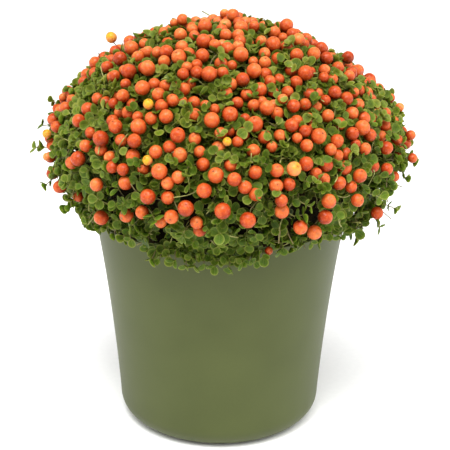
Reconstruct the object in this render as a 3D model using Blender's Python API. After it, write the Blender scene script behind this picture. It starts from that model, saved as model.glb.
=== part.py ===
"""Coral bead plant in its round plastic pot, as one Blender script.

Metres, +Z up. The origin is the centre of the pot's base, on the surface that it stands on.
The pot is filled with peat. Seven rooted clumps of the creeping plant stand in plain holes in
the peat and close into one dome: a middle clump, and six round it. Each clump is one solid: its
crown of stems, its dense heart, its rosettes of leaves, its berries and its stray shoots.
The leaves are larger than life, so that they still cover the dome. The berries are at true size.
"""

import itertools
import math

import bmesh
import bpy
import numpy as np
from mathutils import Matrix, Vector
from mathutils.bvhtree import BVHTree

MM = 0.001
TURN = 2 * math.pi
GOLDEN_ANGLE = math.pi * (3 - math.sqrt(5))
GOLDEN_SHARE = (math.sqrt(5) - 1) / 2

# The pot: its wall flares a little more towards the rim.
POT_HEIGHT = 112 * MM
POT_FOOT_RADIUS = 52.7 * MM  # the wall's line carried down to the table
POT_FLARE = 0.0534  # radius gained for each metre of height, at the foot
POT_FLARE_GROWTH = 0.502  # how much that flare grows, for each metre of height
POT_CORNER_RADIUS = 11.5 * MM
POT_WALL = 2 * MM
POT_FLOOR = 2.5 * MM
FOOT_RECESS = 1.5 * MM
FOOT_PAD_RADIUS = 13 * MM
FOOT_RING_RADIUS = 33 * MM
DRAIN_HOLES = 6
DRAIN_HOLE_RADIUS = 2.5 * MM
DRAIN_HOLE_RING = 23 * MM
DRAIN_HOLE_SPIN = math.radians(13)
DRAIN_HOLE_SIDES = 8
DRAIN_CUTTER_TOP = 4 * POT_FLOOR
POT_SEGMENTS = 32

SMOOTH_ANGLE = math.radians(43)  # edges that turn by less are shaded smooth

# Each finish: its colour and its roughness.
OLIVE_PLASTIC = ((0.130, 0.153, 0.065), 0.45)
MOIST_PEAT = ((0.030, 0.020, 0.012), 0.95)
LEAF_GREEN = ((0.120, 0.153, 0.025), 0.5)
BERRY_ORANGE = ((0.870, 0.175, 0.045), 0.25)

# The peat that fills the pot.
CLEARANCE = 0.35 * MM
PEAT_BELOW_RIM = 9 * MM
STEM_HOLE_RADIUS = 4.2 * MM
STEM_HOLE_DEPTH = 16 * MM
STEM_HOLE_SIDES = 10

# The dome, measured on the clumps' hearts, which leaves and berries stand out of.
DOME_RADIUS = 91 * MM
DOME_WIDEST_Z = 140 * MM
DOME_RISE = 67.5 * MM  # from the widest ring up to the crown
DOME_DROP = 39 * MM  # half-height of the ellipse below the widest ring
DOME_DROP_ANGLE = math.radians(38)  # where that ellipse gives way to the skirt
DOME_LEAN = 3 * MM  # how far the crown lies to +X of the pot's axis
DOME_SWELL = 1.3 * MM  # how far its soft mounds rise and dip
# For each kind of mound: how many there are round the dome, the phase, the twist per metre of
# height, and the share of the swell.
DOME_MOUNDS = ((3, 0.8, 40, 1), (5, 0, -70, 0.7))
SKIRT_RADIUS = 69.5 * MM
SKIRT_Z = 110.5 * MM
SKIRT_GAP = 1 * MM  # from the pot
DOME_SEGMENTS = 24
DOME_RINGS = 8
UPPER_OUTLINE_POINTS = 60  # of the fine outline that distances are measured along
LOWER_OUTLINE_POINTS = 30

# The clumps: a six-sided one in the middle, and six round it.
OUTER_CLUMPS = 6
MIDDLE_APOTHEM = 37 * MM
SEAM = 0.6 * MM
OUTER_CROWN_RING = 47 * MM
CROWN_TOP_RADIUS = 3.8 * MM
CROWN_TIP_RADIUS = 2.2 * MM
CROWN_SUNK = 5 * MM
CROWN_SIDES = 8

# The leaves, in rosettes of two crossed pairs.
ROSETTES = 70
LEAVES_IN_ROSETTE = 4
LEAF_LENGTH = 15.5 * MM
LEAF_WIDTH = 14 * MM
LEAF_THICKNESS = 0.8 * MM
LEAF_PITCH = math.radians(17)
LEAF_ARCH = 1.2 * MM  # how far the leaf's middle rises over the line from its root to its end
LEAF_ROOT_RING = 2.3 * MM  # from the rosette's middle out to the roots
LEAF_ROOT_DEPTH = 1.3 * MM
LEAF_MIDDLE = (0.5, 0.5)  # along the leaf, and out from its midrib: shares of length and width
LEAF_END = (1.0, 0.22)
FRINGE_LEAVES = 32  # round the hem, hanging over the pot's rim
FRINGE_SCALE = 0.75
FRINGE_RISES = (6 * MM, 9 * MM)  # of its roots over the hem, turn and turn about
FRINGE_SPLAY = math.radians(8)
UPPER_PAIR_SCALE = 0.88
UPPER_PAIR_LIFT = math.radians(9)
LEAF_SHRINKS = (1, 0.85, 0.7)  # sizes that a leaf may shrink to, to lie clear
LEAF_LIFTS = (0, 9, 18, 30, 42)  # degrees that it may be lifted by, to lie clear
ROSETTE_TURNS = (0, 14, -14, 28, -28)  # degrees that it may be turned by, to lie clear
FILLERS = 190  # sites where a single leaf closes the gap between rosettes, if there is one
FILLER_SPIN = 2.3  # turns their sites away from the rosettes', in radians
FILLER_TURNS = (0, 30, -30, 60, -60, 90, -90, 120, -120, 150, -150, 180)

# The berries.
EXTRA_BERRY_SITES = 72  # between the rosettes
EXTRA_BERRY_SPIN = 1.1  # turns these sites away from the rosettes', in radians
BERRY_RADIUS = 3.55 * MM
BERRY_SUNK = 1.3 * MM
BERRY_CORNER_RADIUS = 1.07 * BERRY_RADIUS  # out to the corners of its 20 faces
BERRY_SLIDES = (0, 1 * MM, 2 * MM, 3 * MM, 4.5 * MM, 6 * MM)  # how far aside one may slide
BERRY_SLIDE_WAYS = 8
BERRY_SLIDE_DROP = 0.1  # how much lower it sits, for each metre aside
TOP_BERRY_SHARE = 1.05  # share of the sites that bear a berry, at the crown
HEM_BERRY_SHARE = 0.4

# Stray shoots: azimuth in degrees, and height as a share of the outline from crown to hem.
SHOOTS = ((-8, 0.64), (68, 0.6), (128, 0.66), (183, 0.7), (233, 0.6), (305, 0.68))
SHOOT_LENGTH = 6.5 * MM
SHOOT_RADIUS = 0.8 * MM
SHOOT_SIDES = 5
SHOOT_STEPS = (0, 0.5, 1)  # shares of its length, up to its tip
SHOOT_CURL = 1 / 3  # how far its tip turns up, as a share of its length
SHOOT_LEAF_SCALE = 0.6

CLEAR_OF_REPEATS = 0.15 * MM
CLEAR_OF_POT = 1.1 * MM


def new_material(name, finish):
    """A Principled material with one plain colour and roughness."""
    colour, roughness = finish
    material = bpy.data.materials.new(name)
    material.use_nodes = True
    shader = material.node_tree.nodes["Principled BSDF"]
    shader.inputs["Base Color"].default_value = (*colour, 1)
    shader.inputs["Roughness"].default_value = roughness
    shader.inputs["Metallic"].default_value = 0
    return material


def new_object(name, points, faces, collection=None):
    """An object from points and faces."""
    mesh = bpy.data.meshes.new(name)
    mesh.from_pydata([tuple(point) for point in points], [], faces)
    mesh.update()
    obj = bpy.data.objects.new(name, mesh)
    (collection or bpy.context.scene.collection).objects.link(obj)
    return obj


def ringed_mesh(rings):
    """Points and faces of a closed solid from rings of points that go round +Z, from its bottom
    pole to its top pole. A ring of one point is a pole."""
    points = []
    faces = []
    starts = []
    for ring in rings:
        starts.append(len(points))
        points.extend(ring)
    for lower, upper, a, b in zip(rings, rings[1:], starts, starts[1:]):
        sides = max(len(lower), len(upper))
        for i in range(sides):
            j = (i + 1) % sides
            if len(lower) == 1:
                faces.append((a, b + j, b + i))
            elif len(upper) == 1:
                faces.append((a + i, a + j, b))
            else:
                faces.append((a + i, a + j, b + j, b + i))
    return points, faces


def circle(radius, height, sides):
    """A ring of points round +Z, or one point where the radius is 0."""
    if radius == 0:
        return [(0, 0, height)]
    angles = [TURN * i / sides for i in range(sides)]
    return [(radius * math.cos(a), radius * math.sin(a), height) for a in angles]


def lathe(name, profile, sides, collection=None):
    """A turned solid from (radius, height) points, from the bottom of the axis round to its top."""
    return new_object(name, *ringed_mesh([circle(r, z, sides) for r, z in profile]), collection)


def apply_modifiers(obj):
    """Replaces the object's mesh with what its modifiers make of it."""
    graph = bpy.context.evaluated_depsgraph_get()
    mesh = bpy.data.meshes.new_from_object(obj.evaluated_get(graph))
    obj.modifiers.clear()
    old = obj.data
    obj.data = mesh
    bpy.data.meshes.remove(old)


def boolean(obj, operation, other, solver="EXACT"):
    """Adds a Boolean with another object, or with each object of a collection."""
    modifier = obj.modifiers.new(operation.lower(), "BOOLEAN")
    modifier.operation = operation
    modifier.solver = solver
    if isinstance(other, bpy.types.Collection):
        modifier.operand_type = "COLLECTION"
        modifier.collection = other
    else:
        modifier.object = other


def cut(obj, cutters):
    """Takes the cutters out of the object, and removes them."""
    for cutter in cutters:
        boolean(obj, "DIFFERENCE", cutter)
    apply_modifiers(obj)
    for cutter in cutters:
        bpy.data.objects.remove(cutter)


def finish(obj, name, *materials):
    """Names the object and its mesh, sets its materials and shades its round faces smooth."""
    obj.name = name
    obj.data.name = name
    obj.data.materials.clear()
    for material in materials:
        obj.data.materials.append(material)
    obj.data.shade_smooth()
    obj.data.set_sharp_from_angle(angle=SMOOTH_ANGLE)


def wall_radius(z):
    """The pot's outer radius at height z."""
    return POT_FOOT_RADIUS + POT_FLARE * z + POT_FLARE_GROWTH * z * z


def arc(centre, radius, start, end, steps):
    """Points of an arc in the (radius, height) plane, between two angles in degrees."""
    angles = np.radians(np.linspace(start, end, steps + 1))
    return [(centre[0] + radius * math.cos(a), centre[1] + radius * math.sin(a)) for a in angles]


PEAT_TOP = POT_HEIGHT - PEAT_BELOW_RIM


def inside_profile(gap):
    """The pot's inside from the axis to the peat's top, drawn in by a gap."""
    floor = FOOT_RECESS + POT_FLOOR + gap
    corner = POT_CORNER_RADIUS - POT_WALL
    corner_centre = (wall_radius(floor + corner) - POT_WALL - gap - corner, floor + corner)
    heights = np.linspace(floor + corner, PEAT_TOP, 3)[1:]
    wall = [(wall_radius(z) - POT_WALL - gap, z) for z in heights]
    return [(0, floor)] + arc(corner_centre, corner, -90, 0, 2) + wall


def make_pot(material):
    """The moulded pot: a foot ring and a centre pad, drain holes between them, and a round rim."""
    corner_centre = (wall_radius(POT_CORNER_RADIUS) - POT_CORNER_RADIUS, POT_CORNER_RADIUS)
    lip = POT_WALL / 2
    lip_z = POT_HEIGHT - lip
    foot = [
        (0, 0),
        (FOOT_PAD_RADIUS, 0),
        (FOOT_PAD_RADIUS + FOOT_RECESS, FOOT_RECESS),
        (FOOT_RING_RADIUS - FOOT_RECESS, FOOT_RECESS),
        (FOOT_RING_RADIUS, 0),
    ]
    heights = np.linspace(POT_CORNER_RADIUS, lip_z, 4)[1:]
    outside = arc(corner_centre, POT_CORNER_RADIUS, -90, 0, 3) + [(wall_radius(z), z) for z in heights]
    rim = arc((wall_radius(lip_z) - lip, lip_z), lip, 60, 180, 2)
    pot = lathe("pot", foot + outside + rim + inside_profile(0)[::-1], POT_SEGMENTS)
    holes = []
    for i in range(DRAIN_HOLES):
        angle = TURN * i / DRAIN_HOLES + DRAIN_HOLE_SPIN
        hole = lathe("hole", upright(DRAIN_HOLE_RADIUS, -MM, DRAIN_CUTTER_TOP), DRAIN_HOLE_SIDES)
        x = DRAIN_HOLE_RING * math.cos(angle)
        y = DRAIN_HOLE_RING * math.sin(angle)
        hole.data.transform(Matrix.Translation((x, y, 0)))
        holes.append(hole)
    cut(pot, holes)
    finish(pot, "pot", material)


def upright(radius, low, high):
    """A cylinder's profile."""
    return [(0, low), (radius, low), (radius, high), (0, high)]


def crown_places():
    """Where each clump's crown of stems goes down into the peat: the middle one, then the others."""
    outer = [TURN * i / OUTER_CLUMPS for i in range(OUTER_CLUMPS)]
    return [(0, 0)] + [(OUTER_CROWN_RING * math.cos(a), OUTER_CROWN_RING * math.sin(a)) for a in outer]


def make_peat(material):
    """The plug of peat, with a plain hole for each clump's crown."""
    peat = lathe("peat", inside_profile(CLEARANCE) + [(0, PEAT_TOP)], POT_SEGMENTS)
    bore = upright(STEM_HOLE_RADIUS, PEAT_TOP - STEM_HOLE_DEPTH, PEAT_TOP + MM)
    holes = []
    for x, y in crown_places():
        hole = lathe("hole", bore, STEM_HOLE_SIDES)
        hole.data.transform(Matrix.Translation((x, y, 0)))
        holes.append(hole)
    cut(peat, holes)
    finish(peat, "peat", material)


def dome_outline():
    """(radius, height) points of the dome's outside, from its crown down to the skirt's hem."""
    upper = [
        (DOME_RADIUS * math.sin(v), DOME_WIDEST_Z + DOME_RISE * math.cos(v))
        for v in np.linspace(0, TURN / 4, UPPER_OUTLINE_POINTS)
    ]
    lower = [
        (DOME_RADIUS * math.cos(v), DOME_WIDEST_Z - DOME_DROP * math.sin(v))
        for v in np.linspace(0, DOME_DROP_ANGLE, LOWER_OUTLINE_POINTS)[1:]
    ]
    return np.array(upper + lower + [(SKIRT_RADIUS, SKIRT_Z)])


OUTLINE = dome_outline()
STEPS = np.hypot(*np.diff(OUTLINE, axis=0).T)
ALONG = np.concatenate([[0], np.cumsum(STEPS)])  # distance from the crown
AREA_ABOVE = np.concatenate([[0], np.cumsum(math.pi * (OUTLINE[1:, 0] + OUTLINE[:-1, 0]) * STEPS)])


def on_dome(azimuth, along):
    """The point on the dome at an azimuth and a distance from the crown along its outline."""
    r = float(np.interp(along, ALONG, OUTLINE[:, 0]))
    z = float(np.interp(along, ALONG, OUTLINE[:, 1]))
    free = min(1, max(0, (z - POT_HEIGHT) / (DOME_WIDEST_Z - POT_HEIGHT)))  # 0 down at the rim
    mounds = 0
    for count, phase, twist, part in DOME_MOUNDS:
        mounds += part * math.sin(count * azimuth + phase + twist * z)
    swell = free * DOME_SWELL * mounds * min(1, 2 * r / DOME_RADIUS)
    r += swell * r / DOME_RADIUS
    z += swell * max(0, (z - DOME_WIDEST_Z) / DOME_RISE)
    return Vector((r * math.cos(azimuth) + DOME_LEAN * free, r * math.sin(azimuth), z))


def frame_at(point, out, down):
    """A matrix at a point, its Z axis pointing out of the dome and its X axis down along it."""
    down = (down - out * down.dot(out)).normalized()
    return Matrix.Translation(point) @ Matrix((down, out.cross(down), out)).transposed().to_4x4()


def dome_frame(azimuth, along):
    """The frame on the dome at an azimuth and a distance from the crown."""
    step = 0.5 * MM
    here = on_dome(azimuth, along)
    turn = step / max(math.hypot(here.x, here.y), step)
    across = on_dome(azimuth + turn, along) - on_dome(azimuth - turn, along)
    down = on_dome(azimuth, min(along + step, ALONG[-1])) - on_dome(azimuth, max(along - step, 0))
    return frame_at(here, down.cross(across).normalized(), down)


def dome_sites(count, spin):
    """(azimuth, distance along the outline) of points spread evenly over the dome."""
    for i in range(count):
        area = (i + 0.5) / count * AREA_ABOVE[-1]
        yield (i * GOLDEN_ANGLE + spin) % TURN, float(np.interp(area, AREA_ABOVE, ALONG))


def make_heart():
    """The whole dome's heart: flat on the peat, over the pot's rim and out to the dome."""
    plug_radius = wall_radius(PEAT_TOP) - POT_WALL - SKIRT_GAP
    outer_radius = wall_radius(POT_HEIGHT) + SKIRT_GAP
    underside = [
        (0, PEAT_TOP + CLEARANCE),
        (plug_radius, PEAT_TOP + CLEARANCE),
        (plug_radius, POT_HEIGHT + SKIRT_GAP),
        (outer_radius, POT_HEIGHT + SKIRT_GAP),
        (outer_radius, SKIRT_Z),
    ]
    rings = [circle(r, z, DOME_SEGMENTS) for r, z in underside]
    azimuths = [TURN * i / DOME_SEGMENTS for i in range(DOME_SEGMENTS)]
    for along in np.linspace(ALONG[-1], 0, DOME_RINGS + 1)[:-1]:
        rings.append([on_dome(a, along) for a in azimuths])
    rings.append([on_dome(0, 0)])
    return new_object("heart", *ringed_mesh(rings))


def clump_of(x, y):
    """The number of the clump whose cell holds a point. The middle clump is 0."""
    angle = math.atan2(y, x) % TURN
    nearest = round(angle / TURN * OUTER_CLUMPS) % OUTER_CLUMPS
    facing = TURN * nearest / OUTER_CLUMPS
    out = x * math.cos(facing) + y * math.sin(facing)
    return 0 if out < MIDDLE_APOTHEM else nearest + 1


def cell_prism(clump):
    """The upright prism that holds a clump."""
    half = TURN / OUTER_CLUMPS / 2
    if clump == 0:
        corner = (MIDDLE_APOTHEM - SEAM / 2) / math.cos(half)
        corners = [(corner, TURN * (i + 0.5) / OUTER_CLUMPS) for i in range(OUTER_CLUMPS)]
        floor = [(r * math.cos(a), r * math.sin(a)) for r, a in corners]
    else:
        facing = TURN * (clump - 1) / OUTER_CLUMPS
        out = Vector((math.cos(facing), math.sin(facing)))
        left = Vector((-out.y, out.x))
        near = MIDDLE_APOTHEM + SEAM / 2
        far = 2 * DOME_RADIUS
        floor = []
        for distance, side in ((near, -1), (far, -1), (far, 1), (near, 1)):
            across = distance * math.tan(half) - SEAM / 2 / math.cos(half)
            floor.append(out * distance + left * across * side)
    low = SKIRT_Z - DOME_DROP
    high = DOME_WIDEST_Z + 2 * DOME_RISE
    count = len(floor)
    points = [(p[0], p[1], z) for z in (low, high) for p in floor]
    faces = [tuple(range(count))[::-1], tuple(range(count, 2 * count))]
    for i in range(count):
        j = (i + 1) % count
        faces.append((i, j, count + j, count + i))
    return new_object("cell", points, faces)


def leaf_mesh(placing, scale, swell=0):
    """A leaf's points and faces. It lies along +X from its root, arched along its length. Both of
    its surfaces are split into triangles alike."""
    outline = [(0, 0), (LEAF_MIDDLE[0], -LEAF_MIDDLE[1]), (LEAF_END[0], -LEAF_END[1])]
    outline += [LEAF_END, LEAF_MIDDLE]
    flat = []
    for along, out in outline:
        arch = LEAF_ARCH * 4 * along * (1 - along)
        flat.append(scale * Vector((along * LEAF_LENGTH, out * LEAF_WIDTH, arch)))
    above = Vector((0, 0, LEAF_THICKNESS / 2 + swell))
    points = [placing @ (p + above) for p in flat] + [placing @ (p - above) for p in flat]
    faces = []
    for a, b, c in ((0, 1, 4), (1, 2, 4), (2, 3, 4)):
        faces += [(a, b, c), (5 + c, 5 + b, 5 + a)]
    for i in range(5):
        j = (i + 1) % 5
        faces += [(5 + i, 5 + j, j), (5 + i, j, i)]
    return points, faces


def leaf_placing(pitch, spin):
    """Puts a leaf's root on its ring, under the surface, tilted up and turned round the rosette."""
    root = Matrix.Translation((LEAF_ROOT_RING, 0, -LEAF_ROOT_DEPTH))
    return Matrix.Rotation(spin, 4, "Z") @ root @ Matrix.Rotation(-pitch, 4, "Y")


def leaf_choices(frame, scale, pitch, spin, turns):
    """A leaf as it would best lie, then turned or lifted further and further, and then smaller.
    Each comes with a thicker one that is tested in its place."""
    for shrink in LEAF_SHRINKS:
        for lift, turn in itertools.product(LEAF_LIFTS, turns):
            placing = frame @ leaf_placing(pitch + math.radians(lift), spin + math.radians(turn))
            size = scale * shrink
            yield leaf_mesh(placing, size), leaf_mesh(placing, size, CLEAR_OF_REPEATS)


def berry_mesh(frame, swell=0):
    """A berry's points and faces, its foot sunk under the frame's origin."""
    centre = frame @ Matrix.Translation((0, 0, BERRY_RADIUS - BERRY_SUNK))
    bm = bmesh.new()
    bmesh.ops.create_icosphere(bm, subdivisions=1, radius=BERRY_CORNER_RADIUS + swell, matrix=centre)
    points = [v.co.copy() for v in bm.verts]
    faces = [tuple(v.index for v in face.verts) for face in bm.faces]
    bm.free()
    return points, faces


def berry_choices(frame):
    """A berry where it would best sit, and then slid further and further aside."""
    for reach in BERRY_SLIDES:
        for angle in np.linspace(0, TURN, BERRY_SLIDE_WAYS, endpoint=False):
            drop = -reach * BERRY_SLIDE_DROP
            aside = Vector((reach * math.cos(angle), reach * math.sin(angle), drop))
            there = frame @ Matrix.Translation(aside)
            yield berry_mesh(there), berry_mesh(there, CLEAR_OF_REPEATS)


def on_pot(points):
    """Whether points come too near the pot's rim or wall."""
    for p in points:
        radius = wall_radius(min(p.z, POT_HEIGHT)) + CLEAR_OF_POT
        if p.z < POT_HEIGHT + CLEAR_OF_POT and math.hypot(p.x, p.y) < radius:
            return True
    return False


class Foliage:
    """The clumps' repeats. Each is placed where it crosses no other, no other clump's heart and no
    part of the pot."""

    def __init__(self, hearts):
        graph = bpy.context.evaluated_depsgraph_get()
        self.heart_trees = [BVHTree.FromObject(heart, graph) for heart in hearts]
        self.placed = []
        self.berry_centres = [[] for _ in hearts]
        self.collections = []
        for heart in hearts:
            collection = bpy.data.collections.new(heart.name + "_repeats")
            bpy.context.scene.collection.children.link(collection)
            self.collections.append(collection)

    def add(self, name, clump, mesh):
        """Adds a repeat, whatever it crosses."""
        points, faces = mesh
        self.placed.append(BVHTree.FromPolygons(points, faces))
        new_object(name, points, faces, self.collections[clump])
        if name == "berry":
            self.berry_centres[clump].append(sum(points, Vector()) / len(points))

    def place(self, name, clump, choices):
        """Adds the first choice that is clear, if there is one."""
        others = [tree for i, tree in enumerate(self.heart_trees) if i != clump]
        for mesh, tested in choices:
            if on_pot(tested[0]):
                continue
            tree = BVHTree.FromPolygons(*tested)
            if not any(tree.overlap(other) for other in itertools.chain(others, self.placed)):
                self.add(name, clump, mesh)
                return

    def covered(self, frame):
        """Whether a repeat already covers the heart there."""
        out = frame.to_3x3() @ Vector((0, 0, 1))
        start = frame.translation + out * LEAF_LENGTH
        return any(tree.ray_cast(start, -out, LEAF_LENGTH)[0] for tree in self.placed)

    def sites(self, count, spin):
        """(index, distance from the crown, clump, frame on its heart) of sites all over the dome."""
        for index, (azimuth, along) in enumerate(dome_sites(count, spin)):
            frame = dome_frame(azimuth, along)
            clump = clump_of(frame.translation.x, frame.translation.y)
            frame.translation = self.heart_trees[clump].find_nearest(frame.translation)[0]
            yield index, along, clump, frame


def bears(index, along):
    """Whether a site bears a berry. Fewer do further down the dome."""
    down = along / ALONG[-1]
    share = TOP_BERRY_SHARE + (HEM_BERRY_SHARE - TOP_BERRY_SHARE) * down * down
    return index * GOLDEN_SHARE % 1 < share


def add_crowns(foliage):
    """Each clump's crown of stems, from inside its heart down into its hole in the peat."""
    tip = PEAT_TOP - STEM_HOLE_DEPTH + MM
    top = PEAT_TOP + CROWN_SUNK
    profile = [(0, tip), (CROWN_TIP_RADIUS, tip), (CROWN_TOP_RADIUS, top), (0, top)]
    for clump, (x, y) in enumerate(crown_places()):
        crown = lathe("crown", profile, CROWN_SIDES, foliage.collections[clump])
        crown.data.transform(Matrix.Translation((x, y, 0)))


def add_shoots(foliage):
    """Stray stems that curve up out of the dome, each with a pair of leaves and a berry at its tip."""
    for degrees, share in SHOOTS:
        frame = dome_frame(math.radians(degrees), share * ALONG[-1])
        clump = clump_of(frame.translation.x, frame.translation.y)
        up = frame.to_3x3().inverted() @ Vector((0, 0, 1))
        rings = [[frame @ Vector((0, 0, -3 * SHOOT_RADIUS))]]
        for step in SHOOT_STEPS:
            centre = (Vector((0, 0, step)) + up * step * step * SHOOT_CURL) * SHOOT_LENGTH
            ring = [centre + Vector(p) for p in circle(SHOOT_RADIUS, -SHOOT_RADIUS, SHOOT_SIDES)]
            rings.append([frame @ p for p in ring])
        rings.append([frame @ centre])
        foliage.add("stem", clump, ringed_mesh(rings))
        tip = frame @ Matrix.Translation(centre)
        for spin in (TURN / 4, 3 * TURN / 4):
            foliage.add("leaf", clump, leaf_mesh(tip @ leaf_placing(LEAF_PITCH, spin), SHOOT_LEAF_SCALE))
        foliage.add("berry", clump, berry_mesh(tip))


def add_rosettes(foliage):
    """Two crossed pairs of leaves at each site, the upper pair smaller."""
    for index, _, clump, frame in foliage.sites(ROSETTES, 0):
        for leaf in range(LEAVES_IN_ROSETTE):
            upper = leaf % 2
            scale = UPPER_PAIR_SCALE if upper else 1
            pitch = LEAF_PITCH + UPPER_PAIR_LIFT * upper
            spin = (index * GOLDEN_SHARE + leaf / LEAVES_IN_ROSETTE) * TURN
            foliage.place("leaf", clump, leaf_choices(frame, scale, pitch, spin, ROSETTE_TURNS))


def add_fringe(foliage):
    """A row of leaves that hang from the hem over the pot's rim."""
    for i in range(FRINGE_LEAVES):
        azimuth = TURN * (i + 0.5) / FRINGE_LEAVES
        root = on_dome(azimuth, ALONG[-1] - FRINGE_RISES[i % 2])
        out = Vector((math.cos(azimuth), math.sin(azimuth), 0))
        frame = frame_at(root, out, Vector((0, 0, -1)))
        choices = leaf_choices(frame, FRINGE_SCALE, FRINGE_SPLAY, 0, ROSETTE_TURNS)
        foliage.place("leaf", clump_of(root.x, root.y), choices)


def add_berries(foliage):
    """Berries in the rosettes' midst, and more between the rosettes."""
    for count, spin in ((ROSETTES, 0), (EXTRA_BERRY_SITES, EXTRA_BERRY_SPIN)):
        for index, along, clump, frame in foliage.sites(count, spin):
            if bears(index, along):
                foliage.place("berry", clump, berry_choices(frame))


def add_fillers(foliage):
    """Single leaves where the heart still shows between the rosettes."""
    for index, _, clump, frame in foliage.sites(FILLERS, FILLER_SPIN):
        if not foliage.covered(frame):
            spin = index * GOLDEN_SHARE * TURN
            foliage.place("leaf", clump, leaf_choices(frame, 1, LEAF_PITCH, spin, FILLER_TURNS))


def keep_one_body(mesh):
    """Keeps the mesh's largest shell. It drops loose scraps, and fills hollows that fusing sealed."""
    bm = bmesh.new()
    bm.from_mesh(mesh)
    left = set(bm.faces)
    shells = []
    while left:
        shell = {left.pop()}
        edge = list(shell)
        while edge:
            near = {f for e in edge.pop().edges for f in e.link_faces} & left
            left -= near
            shell |= near
            edge.extend(near)
        shells.append(shell)
    shells.sort(key=len)
    scraps = [face for shell in shells[:-1] for face in shell]
    bmesh.ops.delete(bm, geom=scraps, context="FACES")
    bm.to_mesh(mesh)
    bm.free()


def clump_heart(clump, name):
    """One clump's part of the dome's heart."""
    heart = make_heart()
    heart.name = name
    cell = cell_prism(clump)
    boolean(heart, "INTERSECT", cell)
    apply_modifiers(heart)
    bpy.data.objects.remove(cell)
    return heart


def colour_berries(mesh, centres):
    """Gives the faces that lie on a berry the second material."""
    reach = BERRY_CORNER_RADIUS + CLEAR_OF_REPEATS
    for polygon in mesh.polygons:
        corners = [mesh.vertices[i].co for i in polygon.vertices]
        on_berry = any(all((corner - centre).length < reach for corner in corners) for centre in centres)
        polygon.material_index = int(on_berry)


def fuse(heart, repeats):
    """Fuses a clump's heart with its repeats, which it then removes."""
    boolean(heart, "UNION", repeats, "MANIFOLD")
    apply_modifiers(heart)
    for obj in list(repeats.objects):
        bpy.data.objects.remove(obj)
    bpy.data.collections.remove(repeats)
    keep_one_body(heart.data)


def make_clumps():
    """The seven clumps, whose leaves interlock over their seams."""
    names = ["clump_middle"] + [f"clump_{i}" for i in range(1, OUTER_CLUMPS + 1)]
    hearts = [clump_heart(clump, name) for clump, name in enumerate(names)]
    foliage = Foliage(hearts)
    add_crowns(foliage)
    add_shoots(foliage)
    add_rosettes(foliage)
    add_fringe(foliage)
    add_berries(foliage)
    add_fillers(foliage)
    for heart, repeats, centres in zip(hearts, foliage.collections, foliage.berry_centres):
        fuse(heart, repeats)
        leaf = new_material(heart.name + "_leaf", LEAF_GREEN)
        berry = new_material(heart.name + "_berry", BERRY_ORANGE)
        finish(heart, heart.name, leaf, berry)
        colour_berries(heart.data, centres)


def clear_scene():
    """Removes what the scene holds at the start."""
    for obj in list(bpy.data.objects):
        bpy.data.objects.remove(obj)


def main():
    clear_scene()
    make_pot(new_material("olive_plastic", OLIVE_PLASTIC))
    make_peat(new_material("moist_peat", MOIST_PEAT))
    make_clumps()


main()
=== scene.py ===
"""The finished look of a coral bead plant in its round plastic pot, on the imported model's frame.

Metres, +Z up, the origin at the centre of the pot's base. The photograph looks along +Y.
"""

import math
import random
from functools import partial

import bpy
import numpy as np
from mathutils import Matrix, Vector, noise


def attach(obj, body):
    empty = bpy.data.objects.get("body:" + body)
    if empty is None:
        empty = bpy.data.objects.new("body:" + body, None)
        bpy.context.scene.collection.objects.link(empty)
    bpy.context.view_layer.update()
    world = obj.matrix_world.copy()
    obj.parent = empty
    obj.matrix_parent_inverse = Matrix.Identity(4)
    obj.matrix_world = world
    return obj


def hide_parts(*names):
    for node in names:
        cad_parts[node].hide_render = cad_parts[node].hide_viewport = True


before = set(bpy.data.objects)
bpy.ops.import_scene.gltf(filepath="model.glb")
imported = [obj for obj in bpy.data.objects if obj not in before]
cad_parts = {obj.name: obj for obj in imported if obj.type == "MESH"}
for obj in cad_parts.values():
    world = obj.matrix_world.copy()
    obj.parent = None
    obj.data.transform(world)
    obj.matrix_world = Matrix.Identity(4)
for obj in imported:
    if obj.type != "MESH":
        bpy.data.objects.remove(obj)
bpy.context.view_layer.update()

MM = 0.001
TURN = 2 * math.pi

# The camera, fitted to the pot's outline in the photograph.
CAMERA_TARGET_Z = 103.3 * MM
CAMERA_DISTANCE = 575.3 * MM
CAMERA_PITCH = math.radians(18.31)
CAMERA_SIDE = 2.4 * MM
CAMERA_ROLL = math.radians(0.52)
CAMERA_LENS = 88
CAMERA_PLACE = Vector((
    CAMERA_SIDE,
    -CAMERA_DISTANCE * math.cos(CAMERA_PITCH),
    CAMERA_TARGET_Z + CAMERA_DISTANCE * math.sin(CAMERA_PITCH),
))

# The studio: a pale floor, white light all round, a wide soft sun and three lamps. The small lamp
# in front puts the glints on berries and leaves.
FLOOR_REACH = 12
FLOOR_DROP = 0.2 * MM
WORLD_LIGHT = 0.42
SUN_LIGHT = 3.4
SUN_WIDTH = math.radians(50)
SUN_WAY = Vector((0.0, 0.5, -1))
LAMP_AIM = Vector((0, 0, 0.12))
# name, place, width in metres, watts
LAMPS = (
    ("left", (-1.0, -0.35, 0.6), 1.3, 6.5),
    ("right", (1.0, -0.35, 0.6), 1.3, 9),
    ("front", (-0.12, -0.6, 0.95), 0.2, 3.5),
)

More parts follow.
